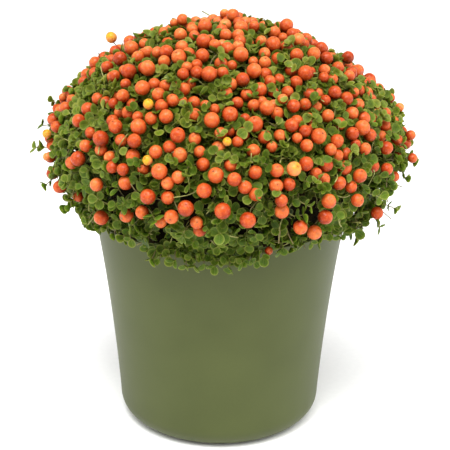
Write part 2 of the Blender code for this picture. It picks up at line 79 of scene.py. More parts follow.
# The pot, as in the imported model, with more sides.
POT_HEIGHT = 112 * MM
POT_FOOT_RADIUS = 52.7 * MM
POT_FLARE = 0.0534
POT_FLARE_GROWTH = 0.502
POT_CORNER_RADIUS = 11.5 * MM
POT_WALL = 2 * MM
POT_FLOOR = 2.5 * MM
FOOT_RECESS = 1.5 * MM
FOOT_SLOPE = 0.6 * FOOT_RECESS
FOOT_PAD_RADIUS = 13 * MM
FOOT_RING_RADIUS = 33 * MM
DRAIN_HOLES = 6
DRAIN_HOLE_RADIUS = 2.5 * MM
DRAIN_HOLE_RING = 23 * MM
DRAIN_HOLE_SPIN = math.radians(13)
DRAIN_HOLE_SIDES = 28
POT_SEGMENTS = 160
SHARP_ANGLE = math.radians(35)

# The peat, and the thatch of old stems under the canopy, painted near-black as painted shade: how
# deep it lies by the share of the way down, and how lumpy it is.
PEAT_TOP = 103 * MM
PEAT_GAP = 0.4 * MM
PEAT_SEGMENTS = 120
PEAT_LUMPS = 0.9 * MM
PEAT_LUMP_SIZE = 3.5 * MM
PEAT_SINK = 0.5 * MM
THATCH_SEGMENTS = 120
THATCH_RINGS = 46
THATCH_DEPTHS = ((0.6, 12.5), (0.78, 19.0), (0.9, 19.0), (0.955, 14.5))
THATCH_LUMPS = 2.0 * MM
THATCH_LUMP_SIZE = 7 * MM

# The canopy: the surface that the leaf tips reach.
CANOPY_RADIUS = 93 * MM
CANOPY_WIDEST_Z = 140 * MM
CANOPY_RISE = 71 * MM
CANOPY_DROP = 41 * MM
CANOPY_DROP_ANGLE = math.radians(38)
CANOPY_LEAN = 3 * MM
UPPER_STEPS, LOWER_STEPS = 60, 30
HEM_RADIUS = 71.5 * MM
HEM_Z = 109 * MM
SWELL = 1.5 * MM
# its even mounds: how many round it, phase, twist for each metre of height, share of the swell
MOUNDS = ((3, 0.8, 40, 1.0), (5, 0.0, -70, 0.7))
# azimuth and share of the way from crown to hem, how far each spreads, and how far it stands out
SWELLS = (
    (12, 0.36, 34, 0.12, -4.5 * MM),
    (203, 0.88, 26, 0.08, -6.0 * MM),
    (0, 0.83, 22, 0.065, -10.0 * MM),
    (333, 0.90, 12, 0.06, 5.0 * MM),
    (8, 0.49, 22, 0.07, -3.0 * MM),
    (181, 0.62, 24, 0.08, 3.0 * MM),
    (130, 0.18, 30, 0.08, -2.5 * MM),
    (90, 0.05, 60, 0.08, 1.5 * MM),
    (48, 0.20, 30, 0.08, -1.5 * MM),
    (135, 0.20, 20, 0.06, -1.0 * MM),
)
OUTER_CLUMPS = 6
MIDDLE_APOTHEM = 37 * MM
CLUMPS = ["clump_middle"] + [f"clump_{i + 1}" for i in range(OUTER_CLUMPS)]

# Where leaves grow on it. Lower down they stand in tufts with hollows between.
PATCHES_AROUND, PATCHES_DOWN = 120, 66
HEM_SHARE, HEM_HANG_SHARE, HEM_SLACK = 0.955, 0.045, 0.008
LOOSENESS = ((0.62, 0), (0.72, 0.7), (0.82, 1.35), (0.91, 1.35))
LOOSE_UP_TO = 0.03  # above the hem
TUFT_SIZE = 5 * MM
TUFT_THINNING, TUFT_CONTRAST = 0.64, 1.4
LEAST_FULLNESS = 0.15

# How sprigs and runners are set: how far apart, how high over the canopy at least and at most,
# how much they lean at random, their least and largest size, how near a berry they give way to
# it, and how far they sink there.
SPRIGS = {
    "Spacing": 3.6 * MM, "Lowest": -10.0 * MM, "Highest": -2.2 * MM, "Tilt": 0.8,
    "Smallest": 0.76, "Largest": 0.99, "Room": 7.5 * MM, "Sink": 2.2 * MM,
}
RUNNERS = {
    "Spacing": 12 * MM, "Lowest": -9 * MM, "Highest": -4.5 * MM, "Tilt": 0.6,
    "Smallest": 0.8, "Largest": 1.2, "Room": 6 * MM, "Sink": 2 * MM,
}
# Stray shoots: how far apart their pairs of leaves are, and how thick they are.
SHOOTS = {"Joint": 3.2 * MM, "Radius": 0.25 * MM}
SHOOT_STEPS = 8
SHOOT_ROOT = 7 * MM  # how far inside the canopy they start
SHOOT_SAG = 0.25
SHOOT_WOBBLE = 0.14

# How leaves lie round a berry, in shares of its radius with its gap: nearer than the first a
# point is well inside it, and up to the second it is pushed out. A leaf goes when more than a few
# of its points are well inside.
WELL_INSIDE = 0.72
BESIDE = 1.6
MOST_INSIDE = 4.5
PUSH = 6

LEAF_THICKNESS = 0.35 * MM
SPRIG_DEPTH = 9 * MM  # down a sprig's stem, where its bend ends
# A sprig's pairs: height on the stem, leaf length, least and most pitch in degrees, youth.
SPRIG_LEVELS = (
    (1.2 * MM, 3.5 * MM, (30, 60), 0.9),
    (0.0, 4.6 * MM, (8, 42), 0.6),
    (-2.0 * MM, 5.1 * MM, (-12, 28), 0.35),
    (-4.2 * MM, 5.1 * MM, (-25, 18), 0.1),
)
SPRIG_KINDS = ((1, 2), (0, 1, 2), (1, 3), (1, 2, 3), (0, 2), (1, 2), (1,), (0, 1, 3))
SPRIG_MAKES, PAIR_MAKES, RUNNER_MAKES, BERRY_MAKES = 16, 4, 5, 3
LEAF_SEED, STEM_SEED = 100, 200
BERRY_SIDES = 14
# how far down from a berry's flower scar each ring of it is, from its stalk up
BERRY_POLAR = (1.0, 0.85, 0.71, 0.58, 0.45, 0.32, 0.2, 0.12, 0.05, 0.0)
BERRY_GAP = 0.15 * MM
BERRY_OVERLAP = 0.87  # how near two berries may come, as a share of their radii
BERRY_STRAY = 0.5  # how far a measured lift may be off, in mm
USUAL_RIPENESS = (0.47, 0.70)
YELLOW = 0.22
# near the crown the berries' ripeness is lowered so they are painted paler, as painted top light
CROWN_PALER = ((0.1, 0.11), (0.4, 0.0))  # how much less ripe they are, by share of the way down
# The random berries: the least and the gain with size of their lift and radius in mm, and how
# many are yellow, at what ripeness. None comes where the photograph shows the dome, which is below
# a share of the way down and where the canopy faces the camera by more than a cosine.
BERRY_TRIES = 9000
RANDOM_LIFT, RANDOM_LIFT_GAIN = -3.6, 2.6
RANDOM_RADIUS, RANDOM_RADIUS_GAIN = 2.4, 1.2
RANDOM_YELLOWS, RANDOM_YELLOW = 0.03, 0.15
SHOWN_BELOW, SHOWN_FACING = 0.16, 0.12
# The small ones beside others: how many tries each, their radii in mm, and how deep they sink.
BESIDE_TRIES = 5
BESIDE_RADII = (2.4, 3.2)
BESIDE_DEEPER = 2.4
# How many of both take, by share of the way down.
RANDOM_SHARES = ((0, 0.1), (0.3, 0.1), (0.45, 0.085), (0.7, 0.05), (0.86, 0.025), (0.93, 0))
BESIDE_SHARES = (
    (0, 0.35), (0.28, 0.25), (0.38, 0.35), (0.46, 0.8), (0.53, 0.65), (0.6, 0.2), (0.7, 0),
)

# Berries on the side that the photograph shows: share of the way from crown to hem, in
# hundredths, then azimuths in degrees. The large ones stand clear of the leaves.
LARGE_BERRIES = {
    10: (292,), 22: (252,), 23: (304,), 27: (278,), 30: (235,), 31: (203,),
    32: (245, 320), 34: (283,), 36: (207,), 37: (262,), 38: (234, 306), 40: (225,), 45: (238,),
    48: (284,), 50: (271,), 52: (265,), 53: (279,), 56: (242,), 57: (234, 245, 255),
    58: (216, 299, 319), 59: (267,), 60: (242,), 61: (230,), 65: (293,), 66: (289,), 67: (251, 267),
    68: (221, 272), 71: (264, 313), 74: (248,), 76: (259, 269, 300), 79: (276,), 81: (300,),
    87: (226,), 88: (300,),
}
MIDDLING_BERRIES = {
    0: (90,), 6: (120,), 8: (22, 211), 11: (261,), 14: (223,), 15: (268,), 17: (321,),
    19: (224,), 20: (201,), 21: (333,), 22: (278,), 23: (261,), 24: (270,), 26: (240, 294),
    28: (323,), 29: (256, 283), 30: (219, 228, 291, 311, 337), 33: (217,), 34: (329,),
    35: (187,), 37: (277,), 38: (251, 289, 318), 40: (202,), 42: (217, 332), 46: (245, 314),
    47: (247,), 48: (231, 294), 52: (244, 250, 254), 54: (216, 291), 56: (295,), 57: (196, 292),
    60: (306,), 62: (249, 303), 63: (199,), 64: (223, 318), 66: (284, 330), 68: (235, 239),
    72: (328,), 74: (229, 285), 78: (312,), 79: (255,), 84: (293,), 87: (329,),
}
HALF_HIDDEN_BERRIES = {
    6: (125,), 10: (28,), 18: (302,), 22: (198, 244), 24: (315,), 28: (301,), 30: (267,),
    32: (234,), 34: (289, 303), 38: (182, 272), 39: (275, 301), 40: (284,),
    42: (240, 245, 253, 278, 295), 44: (250, 304, 311, 330), 45: (274, 277), 46: (258, 270, 303),
    47: (239, 300, 333), 49: (288,), 50: (179, 221, 259), 51: (326, 340),
    52: (186, 235, 262, 299, 307), 53: (319,), 54: (249, 288, 310),
    55: (196, 264, 268, 275, 311, 335), 56: (282, 287, 329), 57: (260, 312, 343),
    58: (286,), 60: (222, 278, 337), 61: (346,), 62: (256,),
    64: (229, 232, 241, 263, 271, 306, 310), 65: (260,), 66: (230, 278, 301, 342), 67: (245,),
    68: (256, 297, 309),
    70: (253, 275, 284, 288, 300, 323, 343), 72: (239, 278, 288, 290, 306), 74: (253, 311),
    78: (286,), 80: (245,), 82: (262,), 83: (251,), 84: (238,), 86: (263,), 90: (331,),
}
# Berries that stand out past the leaves: azimuth, share, lift and radius in mm, ripeness.
PROUD_BERRIES = (
    (183, 0.340, 4.5, 2.8, 0.10),
    (195, 0.135, 0.9, 2.9, 0.55),
    (193, 0.160, 0.2, 2.1, 0.50),
    (106, 0.040, -0.4, 2.4, 0.45),
    (337, 0.180, 0.5, 3.4, 0.60),
    (346, 0.375, 1.7, 3.1, 0.70),
    (352, 0.675, 0.0, 2.6, 0.50),
    (192, 0.670, 0.2, 2.3, 0.08),
    (181, 0.570, -1.0, 2.2, 0.40),
    (357, 0.595, -0.8, 2.3, 0.30),
    (359, 0.560, -1.6, 2.2, 0.50),
    (347, 0.730, 1.4, 2.5, 0.55),
    (194, 0.735, -1.0, 2.2, 0.25),
    (243, 0.495, -1.0, 2.4, 0.02),
    (247, 0.645, -1.2, 2.3, 0.05),
    (270, 0.580, -1.6, 2.0, 0.03),
    (323, 0.250, -1.0, 3.2, 0.42),
    (288, 0.970, -0.3, 2.0, 0.65),
)
# Of the ones in the tables, those that are still yellow: azimuth and share.
YELLOW_BERRIES = ((196, 55), (335, 55), (289, 66))
# Shoots that stray out of the canopy: azimuth, share, how far they reach past it in mm, how far
# they rise (degrees over the way out), their turn to the side (degrees), whether they bear leaves.
STRAY_SHOOTS = (
    (190, 0.715, 4.5, -5, 5, 1),
    (186, 0.660, 2.5, 10, -5, 1),
    (181, 0.600, 2.0, 20, 0, 1),
    (198, 0.795, 3.0, -10, 8, 1),
    (208, 0.845, 3.0, -20, -10, 1),
    (218, 0.880, 2.0, -20, 8, 1),
    (199, 0.880, 4.0, -20, 8, 1),
    (211, 0.960, 2.0, -30, -8, 1),
    (181, 0.415, 2.5, 45, 0, 0),
    (352, 0.735, 3.0, -35, 5, 1),
    (345, 0.765, 3.0, -40, -8, 1),
    (338, 0.800, 3.0, 30, 8, 0),
    (335, 0.850, 3.5, -10, -5, 1),
    (336, 0.880, 4.5, -15, 5, 0),
    (330, 0.890, 3.0, -25, 8, 1),
    (326, 0.935, 5.0, -40, -5, 1),
    (322, 0.955, 4.5, -45, 8, 0),
    (333, 0.945, 3.5, -30, -8, 0),
    (288, 0.865, 2.5, -30, 25, 0),
    (291, 0.880, 2.5, -10, -25, 0),
    (95, 0.500, 4.0, 30, 0, 1),
    (60, 0.700, 4.5, 0, 8, 1),
    (128, 0.740, 4.5, 0, -8, 1),
    (110, 0.920, 4.5, -45, 0, 1),
    (70, 0.940, 4.0, -45, 5, 1),
    (30, 0.900, 4.5, -30, 0, 1),
    (42, 0.960, 4.0, -50, 5, 1),
    (152, 0.900, 4.0, -35, 0, 1),
    (140, 0.580, 3.5, 20, 8, 1),
    (20, 0.660, 3.5, 10, -8, 1),
)
# How many short shoots hang over the pot's rim, and how low the hem hangs, by azimuth.
FRINGE_SHOOTS = 84
FRINGE_SHARE, FRINGE_LOWER, FRINGE_STRAY = 0.92, 0.055, 0.02
FRINGE_REACH, FRINGE_FURTHER = 0.6, 1.6  # in mm
FRINGE_RISE, FRINGE_ASIDE = -50, 20  # in degrees
HEM_HANG = (
    (20, 0.5), (200, 0.5), (212, 0.2), (225, 0.0), (239, 0.0), (243, 1.0), (281, 1.0), (287, 0.5),
    (298, 0.3), (302, 0.1), (340, 0.25),
)
# Each table's lift in mm, least and most radius in mm, and how clear its berries stand.
BERRY_TABLES = (
    (LARGE_BERRIES, -1.1, (3.15, 3.7), 0.9),
    (MIDDLING_BERRIES, -2.0, (2.8, 3.3), 0.5),
    (HALF_HIDDEN_BERRIES, -4.2, (2.8, 3.4), -0.3),
)

# The kinds of node that are used most, those that do sums with their operation.
PLUS, MINUS, TIMES, OVER, POWER, TIMES_PLUS, ABOVE, BELOW, UNSIGNED, SINE = (
    f"ShaderNodeMath {operation}"
    for operation in (
        "ADD", "SUBTRACT", "MULTIPLY", "DIVIDE", "POWER", "MULTIPLY_ADD", "GREATER_THAN",
        "LESS_THAN", "ABSOLUTE", "SINE",
    )
)
VECTOR_PLUS, VECTOR_MINUS, VECTOR_TIMES_PLUS, SCALED, UNIT = (
    f"ShaderNodeVectorMath {operation}"
    for operation in ("ADD", "SUBTRACT", "MULTIPLY_ADD", "SCALE", "NORMALIZE")
)
RANGE = "ShaderNodeMapRange"  # its inputs: a value, from least and most, to least and most
NOISE = "ShaderNodeTexNoise"
RAMP = "ShaderNodeValToRGB"
AXES = "ShaderNodeSeparateXYZ"
RANDOM = "FunctionNodeRandomValue"
FIELD = "GeometryNodeInputNamedAttribute"
STORE = "GeometryNodeStoreNamedAttribute"


def read_off(table, place, **period):
    """The value at a place on the line through a table's (place, value) pairs."""
    return float(np.interp(place, *zip(*table), **period))


def canopy_outline():
    """(radius, height) points of the canopy, from its crown down to the hem."""
    upper = [
        (CANOPY_RADIUS * math.sin(v), CANOPY_WIDEST_Z + CANOPY_RISE * math.cos(v))
        for v in np.linspace(0, TURN / 4, UPPER_STEPS)
    ]
    lower = [
        (CANOPY_RADIUS * math.cos(v), CANOPY_WIDEST_Z - CANOPY_DROP * math.sin(v))
        for v in np.linspace(0, CANOPY_DROP_ANGLE, LOWER_STEPS)[1:]
    ]
    return np.array(upper + lower + [(HEM_RADIUS, HEM_Z)])


OUTLINE = canopy_outline()
ALONG = np.concatenate([[0], np.cumsum(np.hypot(*np.diff(OUTLINE, axis=0).T))])
AREA_ABOVE = np.concatenate(
    [[0], np.cumsum(math.pi * (OUTLINE[1:, 0] + OUTLINE[:-1, 0]) * np.diff(ALONG))]
)


def canopy_point(azimuth, share, lift=0):
    """The point over the canopy at an azimuth and a share of the way from its crown to its hem."""
    along = share * ALONG[-1]
    r = float(np.interp(along, ALONG, OUTLINE[:, 0]))
    z = float(np.interp(along, ALONG, OUTLINE[:, 1]))
    free = min(1, max(0, (z - POT_HEIGHT) / (CANOPY_WIDEST_Z - POT_HEIGHT)))
    steep = r / CANOPY_RADIUS
    mounds = sum(
        amount * math.sin(count * azimuth + phase + twist * z)
        for count, phase, twist, amount in MOUNDS
    )
    out = lift + SWELL * mounds * free * min(1, 2 * steep)
    for where, height, width, depth, amount in SWELLS:
        turn = (math.degrees(azimuth) - where + 180) % 360 - 180
        out += amount * math.exp(-((turn / width) ** 2) - ((share - height) / depth) ** 2)
    r += out * steep
    z += out * (z - CANOPY_WIDEST_Z) / CANOPY_RISE
    return Vector((r * math.cos(azimuth) + CANOPY_LEAN * free, r * math.sin(azimuth), z))


def hang(azimuth):
    """How low the hem hangs at an azimuth, from 0 to 1."""
    return read_off(HEM_HANG, math.degrees(azimuth), period=360)


def canopy_frame(azimuth, share):
    """(point, direction out of the canopy) at an azimuth and a share of the way down."""
    step = 0.004
    turn = step / max(share, step)
    across = canopy_point(azimuth + turn, share) - canopy_point(azimuth - turn, share)
    down = canopy_point(azimuth, share + step) - canopy_point(azimuth, max(share - step, 0))
    return canopy_point(azimuth, share), down.cross(across).normalized()


def clump_of(point):
    """The name of the clump whose cell holds a point."""
    angle = math.atan2(point.y, point.x) % TURN
    nearest = round(angle / TURN * OUTER_CLUMPS) % OUTER_CLUMPS
    facing = TURN * nearest / OUTER_CLUMPS
    out = point.x * math.cos(facing) + point.y * math.sin(facing)
    return "clump_middle" if out < MIDDLE_APOTHEM else f"clump_{nearest + 1}"


def linked(*objects):
    """Puts objects in the scene, and gives back the first."""
    for made in objects:
        bpy.context.scene.collection.objects.link(made)
    return objects[0]


# Materials


def linear(colour):
    """An sRGB hex colour as linear RGBA."""
    shares = [int(colour[i : i + 2], 16) / 255 for i in (1, 3, 5)]
    return [s / 12.92 if s < 0.04045 else ((s + 0.055) / 1.055) ** 2.4 for s in shares] + [1]


def live(node):
    """A node's first output that is in use."""
    return next(socket for socket in node.outputs if socket.enabled)


def put(tree, kind, inputs=(), stops=(), **settings):
    """Adds a node with its settings and links. Its kind may name its operation too. Its inputs
    come in order, or by name or number, and each is a value, a socket or a node. Stops are a
    colour ramp's (place, hex colour) pairs."""
    kind, *operation = kind.split()
    made = tree.nodes.new(kind)
    if operation:
        made.operation = operation[0]
    for name, value in settings.items():
        setattr(made, name, value)
    for key, value in (inputs if isinstance(inputs, dict) else dict(enumerate(inputs))).items():
        if isinstance(value, bpy.types.Node):
            value = live(value)
        if isinstance(value, bpy.types.NodeSocket):
            tree.links.new(value, made.inputs[key])
        else:
            made.inputs[key].default_value = value
    while stops and len(made.color_ramp.elements) < len(stops):
        made.color_ramp.elements.new(0.5)
    for number, (place, colour) in enumerate(stops):
        made.color_ramp.elements[number].position = place
        made.color_ramp.elements[number].color = linear(colour)
    return made


def new_material(name):
    """(material, its way to add a node, the object's coordinates)"""
    material = bpy.data.materials.new(name)
    material.use_nodes = True
    add = partial(put, material.node_tree)
    return material, add, add("ShaderNodeTexCoord").outputs["Object"]


def finish(material, colour, roughness, relief, strength, depth, **plain):
    """Joins colour, roughness and relief to the material's shader, and sets its plain values."""
    tree = material.node_tree
    shader = tree.nodes["Principled BSDF"]
    bump = put(tree, "ShaderNodeBump", {"Height": relief, "Strength": strength, "Distance": depth})
    for name, node in (("Base Color", colour), ("Roughness", roughness), ("Normal", bump)):
        tree.links.new(live(node), shader.inputs[name])
    for name, value in plain.items():
        shader.inputs[name.replace("_", " ")].default_value = value
    return material


def make_leaf_material():
    """Living leaf blade: a waxy skin over green flesh.

    It gives the eye a soft gloss, a paler rim and midrib, tone that changes from leaf to leaf,
    and a little light from inside the thin blade. Painted top light brightens the crown and the
    rims, and painted shade darkens the blade's centre, the lower leaves and those deep inside.
    """
    material, add, place = new_material("living_leaf_blade")
    spot = add("ShaderNodeAttribute", attribute_name="leaf_place").outputs["Vector"]
    along, across, rim = add(AXES, (spot,)).outputs
    tone, age, under, inner = (
        add("ShaderNodeAttribute", attribute_name=name).outputs["Fac"]
        for name in ("tone", "age", "under", "inner")
    )
    height = add(AXES, (place,)).outputs["Z"]
    patches, mottle = (
        add(NOISE, {"Vector": place, "Scale": 1 / (size * MM), "Detail": detail})
        for size, detail in ((22, 2.0), (1.1, 3.0))
    )
    # the blades are painted brighter towards the crown and darker lower down: younger leaves at the
    # crown, with painted top light and painted shade
    pick = add(RANGE, (height, 125 * MM, 205 * MM, -0.04, 0.05))
    # the rim share paints each blade darker at its centre and lighter towards its rim: painted
    # shade in its cup
    for share, by in ((tone, 0.36), (age, 0.26), (patches, 0.2), (mottle, 0.12), (rim, 0.45)):
        pick = add(TIMES_PLUS, (share, by, pick))
    greens = (
        (0.22, "#1d2a03"), (0.46, "#384a07"), (0.70, "#516213"), (0.94, "#68711d"),
        (1.0, "#7b7d2d"),
    )
    colour = add(RAMP, (pick,), greens)
    pale = add(RAMP, (tone,), ((0, "#5f6f24"), (1, "#868d3f")))
    # those lower down are painted a deeper, darker green as painted shade, and old blades a cooler
    # one
    painted_low_shade = add(RANGE, (height, 135 * MM, 180 * MM, 0.5, 0))
    old = add(RANGE, (age, 0, 0.45, 0.5, 0))
    # low on the plant, those deep inside are painted near-black green as painted shade
    inmost = add(POWER, (inner, 2.0))
    low = add(RANGE, (height, 130 * MM, 175 * MM, 0.9, 0))
    painted_inner_shade = add(TIMES, (inmost, low))
    ribs = add(UNSIGNED, (across,))
    # side veins run out and forward from the midrib, about 1 mm apart
    slant = add(TIMES_PLUS, (ribs, -0.28, along))
    wave = add(TIMES, (slant, 36.0))
    crest = add(SINE, (wave,))
    # the pale margin is partly the blade's own paler edge and partly a painted highlight where its
    # rim catches the light
    midrib, veins, edge = (
        add(RANGE, (value, least, most, 0, to), interpolation_type="SMOOTHSTEP")
        for value, least, most, to in (
            (ribs, 0.15, 0.02, 0.3), (crest, 0.5, 1, 0.14), (rim, 0.7, 1, 0.85),
        )
    )
    below = add(TIMES, (under, 0.6))
    for share, paint in (
        (painted_low_shade, linear("#44640f")),
        (old, linear("#2f4a12")),
        (veins, pale),
        (midrib, pale),
        (edge, pale),
        (below, linear("#4c5a26")),
        (painted_inner_shade, linear("#0c1803")),
    ):
        colour = add("ShaderNodeMix", {0: share, 6: colour, 7: paint}, data_type="RGBA")
    roughness = add(RANGE, (mottle, 0, 1, 0.36, 0.54))
    furrows = add(PLUS, (midrib, veins))
    relief = add(TIMES_PLUS, (furrows, -2.4, mottle))
    return finish(
        material, colour, roughness, relief, 0.35, 0.25 * MM, IOR=1.4, Specular_IOR_Level=0.17,
        Subsurface_Weight=0.12, Subsurface_Radius=(0.6, 1.0, 0.15), Subsurface_Scale=0.6 * MM,
    )


def make_berry_material():
    """Ripe berry skin: thin, taut and waxy over juicy flesh.

    It gives the eye a soft broad highlight, a warm glow from inside, a painted peach top light over
    painted redder shade on the sides, fine paler freckles, and a small brown scar where the flower
    was.
    """
    material, add, place = new_material("ripe_berry_skin")
    polar, ripeness, tone = (
        add("ShaderNodeAttribute", attribute_name=name).outputs["Fac"]
        for name in ("polar", "ripeness", "tone")
    )
    blush, freckles, dimples = (
        add(NOISE, {"Vector": place, "Scale": 1 / (size * MM), "Detail": detail})
        for size, detail in ((2.2, 2.0), (0.75, 2.0), (1.5, 1.0))
    )
    pick = add(PLUS, (ripeness, -0.39))
    # the polar share paints the tip a lighter peach and the stalk end a darker red: painted top
    # light and painted shade
    for share, by in ((blush, 0.46), (polar, 0.6)):
        pick = add(TIMES_PLUS, (share, by, pick))
    oranges_and_painted_shade = (
        (0.06, "#c8981f"), (0.26, "#da884a"), (0.48, "#c8602a"), (0.72, "#a5390f"),
        (1.0, "#651704"),
    )
    colour = add(RAMP, (pick,), oranges_and_painted_shade)
    spots, halo, dot = (
        add(RANGE, (value, least, most, 0, to), interpolation_type="SMOOTHSTEP")
        for value, least, most, to in (
            (freckles, 0.5, 0.72, 0.2), (polar, 0.17, 0.07, 0.4), (polar, 0.06, 0.02, 1),
        )
    )
    # on some berries the scar has nearly healed over
    healed = add(RANGE, (tone, 0.25, 1, 0.15, 0.8))
    scar = add(TIMES, (dot, healed))
    for share, paint in ((spots, "#e8905a"), (halo, "#9c3a1a"), (scar, "#4c1c18")):
        colour = add("ShaderNodeMix", {0: share, 6: colour, 7: linear(paint)}, data_type="RGBA")
    roughness = add(RANGE, (freckles, 0, 1, 0.24, 0.4))
    relief = add(TIMES_PLUS, (dimples, 6.0, freckles))
    return finish(
        material, colour, roughness, relief, 0.25, 0.08 * MM, IOR=1.45, Specular_IOR_Level=0.24,
        Subsurface_Weight=0.25, Subsurface_Radius=(1.0, 0.22, 0.07), Subsurface_Scale=1.4 * MM,
    )


def make_grained_material(name, sizes, shares, colours, rough, strength, depth, **plain):
    """A surface of two noises, a coarse one and a fine one.

    Sizes are their sizes in mm, and how detailed they are. Shares are how much the coarse one,
    the fine one and the copy's own tone add to the colour's place on its ramp, and how much of
    the coarse one is in the relief beside the fine one. Rough is which of the two the roughness
    follows, its least and its most.
    """
    material, add, place = new_material(name)
    noises = [
        add(NOISE, {"Vector": place, "Scale": 1 / (size * MM), "Detail": detail})
        for size, detail in sizes
    ]
    coarse, fine = noises
    tone = add("ShaderNodeAttribute", attribute_name="tone").outputs["Fac"]
    pick = add(TIMES, (fine, shares[1]))
    for share, by in ((coarse, shares[0]), (tone, shares[2])):
        pick = add(TIMES_PLUS, (share, by, pick))
    colour = add(RAMP, (pick,), colours)
    roughness = add(RANGE, (noises[rough[0]], 0, 1, *rough[1:]))
    relief = add(TIMES_PLUS, (coarse, shares[3], fine))
    return finish(material, colour, roughness, relief, strength, depth, **plain)


def make_stem_material():
    """Creeping stem: a thin, soft, pale green stalk that browns with age.

    It gives the eye light threads between the leaves, greener in places and browner in others.
    """
    return make_grained_material(
        "creeping_stem", ((2.5, 2.0), (0.5, 2.0)), (1, 0, 0.6, 0),
        ((0.3, "#5e4a2c"), (0.75, "#77703a"), (1.0, "#9a9b52")),
        (1, 0.45, 0.65), 0.3, 0.15 * MM,
    )


def make_thatch_material():
    """Shaded thatch: old stems and dead leaves matted under the canopy.

    It gives the eye the dark green-brown depth behind every gap between the leaves: its near-black
    colour is painted shade.
    """
    return make_grained_material(
        "stem_thatch_painted_shade", ((4, 4.0), (0.9, 3.0)), (0.6, 0.4, 0, 1.5),
        ((0.35, "#080602"), (0.52, "#161104"), (0.7, "#2e230c")),
        (1, 0.75, 0.95), 0.9, 1.2 * MM, Specular_IOR_Level=0.05,
    )


def make_pot_material():
    """Polypropylene, injection moulded in a fine-textured mould, olive green.

    It gives the eye a satin skin with a faint grain and a slightly uneven tone. The grain is
    drawn coarser than the mould's, or it wouldn't show.
    """
    return make_grained_material(
        "moulded_polypropylene", ((30, 2.0), (0.8, 3.0)), (0.7, 0.3, 0, 0),
        ((0.3, "#414820"), (0.7, "#484f26")),
        (1, 0.42, 0.54), 0.12, 0.15 * MM, Specular_IOR_Level=0.25,
    )


def make_peat_material():
    """Moist peat: crumbs and fibres of brown moss.

    It gives the eye a dull, almost black-brown crumb with a few paler fibres.
    """
    return make_grained_material(
        "moist_peat", ((2.2, 4.0), (0.8, 3.0)), (0.65, 0.35, 0, 1.857),
        ((0.35, "#1d140d"), (0.55, "#352519"), (0.75, "#5b4630")),
        (0, 0.8, 0.98), 0.8, 0.315 * MM,
    )


def make_floor_material():
    """Matt studio board, almost white. It gives the eye a pale ground with a faint tooth."""
    return make_grained_material(
        "studio_board", ((3, 2.0), (3, 2.0)), (1, 0, 0, 0),
        ((0.3, "#f7f7f6"), (0.7, "#fafaf9")),
        (0, 0.85, 0.95), 0.05, 0.1 * MM,
    )


# Shapes


def ringed(name, rings):
    """A closed mesh from rings of points, bottom first. A ring of one point is a pole."""
    points, faces = [], []
    starts = []
    for ring in rings:
        starts.append(len(points))
        points += ring
    for below, above, a, b in zip(rings, rings[1:], starts, starts[1:]):
        count = max(len(below), len(above))
        for i in range(count):
            j = (i + 1) % count
            if len(below) == 1:
                faces.append((a, b + j, b + i))
            elif len(above) == 1:
                faces.append((a + i, a + j, b))
            else:
                faces.append((a + i, a + j, b + j, b + i))
    mesh = bpy.data.meshes.new(name)
    mesh.from_pydata([tuple(p) for p in points], [], faces)
    mesh.shade_smooth()
    return bpy.data.objects.new(name, mesh)


class Shape:
    """A mesh in the making, with what its materials read at each point."""

    def __init__(self):
        self.points = []
        self.faces = []
        self.sharp = set()
        self.leaf_place = []
        self.fields = {"age": [], "under": [], "stalk": []}

    def add(self, points, faces, places=None, age=0.0, under=None, stalk=0.0, sharp=()):
        first = len(self.points)
        count = len(points)
        self.points += [Vector(p) for p in points]
        self.faces += [tuple(first + i for i in face) for face in faces]
        self.sharp |= {tuple(sorted((first + a, first + b))) for a, b in sharp}
        self.leaf_place += places or [(0, 0, 0)] * count
        self.fields["age"] += [age] * count
        self.fields["under"] += under or [0.0] * count
        self.fields["stalk"] += [stalk] * count

    def made(self, name):
        """The mesh as an object that isn't in the scene."""
        mesh = bpy.data.meshes.new(name)
        mesh.from_pydata(self.points, [], self.faces)
        mesh.shade_smooth()
        for edge in mesh.edges:
            edge.use_edge_sharp = tuple(sorted(edge.vertices)) in self.sharp
        places = mesh.attributes.new("leaf_place", "FLOAT_VECTOR", "POINT")
        places.data.foreach_set("vector", np.array(self.leaf_place, np.float32).ravel())
        for field, values in self.fields.items():
            kept = mesh.attributes.new(field, "FLOAT", "POINT")
            kept.data.foreach_set("value", np.array(values, np.float32))
        return bpy.data.objects.new(name, mesh)


def add_leaf(shape, root, azimuth, pitch, length, width, cup, roll, age, corners=12):
    """Adds one round leaf, a closed thin blade, growing from a root out to an azimuth."""
    turned = Matrix.Rotation(azimuth, 3, "Z") @ Matrix.Rotation(-pitch, 3, "Y")
    turned = turned @ Matrix.Rotation(roll, 3, "X")
    rim, ring = [], []
    for i in range(corners):
        angle = TURN * (i + 0.5) / corners
        ahead, side = math.cos(angle), math.sin(angle)
        if i in (corners // 2 - 1, corners // 2):  # the stalk end is drawn out and narrow
            rim.append((0.5 + 0.5 * ahead - 0.12, side * 0.4, 1.0))
        else:
            rim.append((0.5 + 0.5 * ahead, side * (1 + 0.06 * ahead), 1.0))
        ring.append((0.5 + 0.29 * ahead, 0.58 * side, 0.58))
    places = rim + ring + [(0.5, 0, 0), (0.5, 0, 0)]
    points = []
    for along, across, out in places:
        height = cup * out * out * (0.6 + 0.4 * abs(across)) - 0.12 * along * along * length
        if along < 0:
            height -= 0.1 * length
        points.append(Vector((along * length, across * width / 2, height)))
    top, low = 2 * corners, 2 * corners + 1
    points[low].z -= LEAF_THICKNESS
    faces = []
    for i in range(corners):
        j = (i + 1) % corners
        faces.append((i, j, corners + j, corners + i))
        faces.append((corners + i, corners + j, top))
        faces.append((j, i, low))
    under = [0.0] * low + [1.0]
    shape.add(
        [Vector(root) + turned @ p for p in points], faces, places, age, under,
        sharp=[(i, (i + 1) % corners) for i in range(corners)],
    )


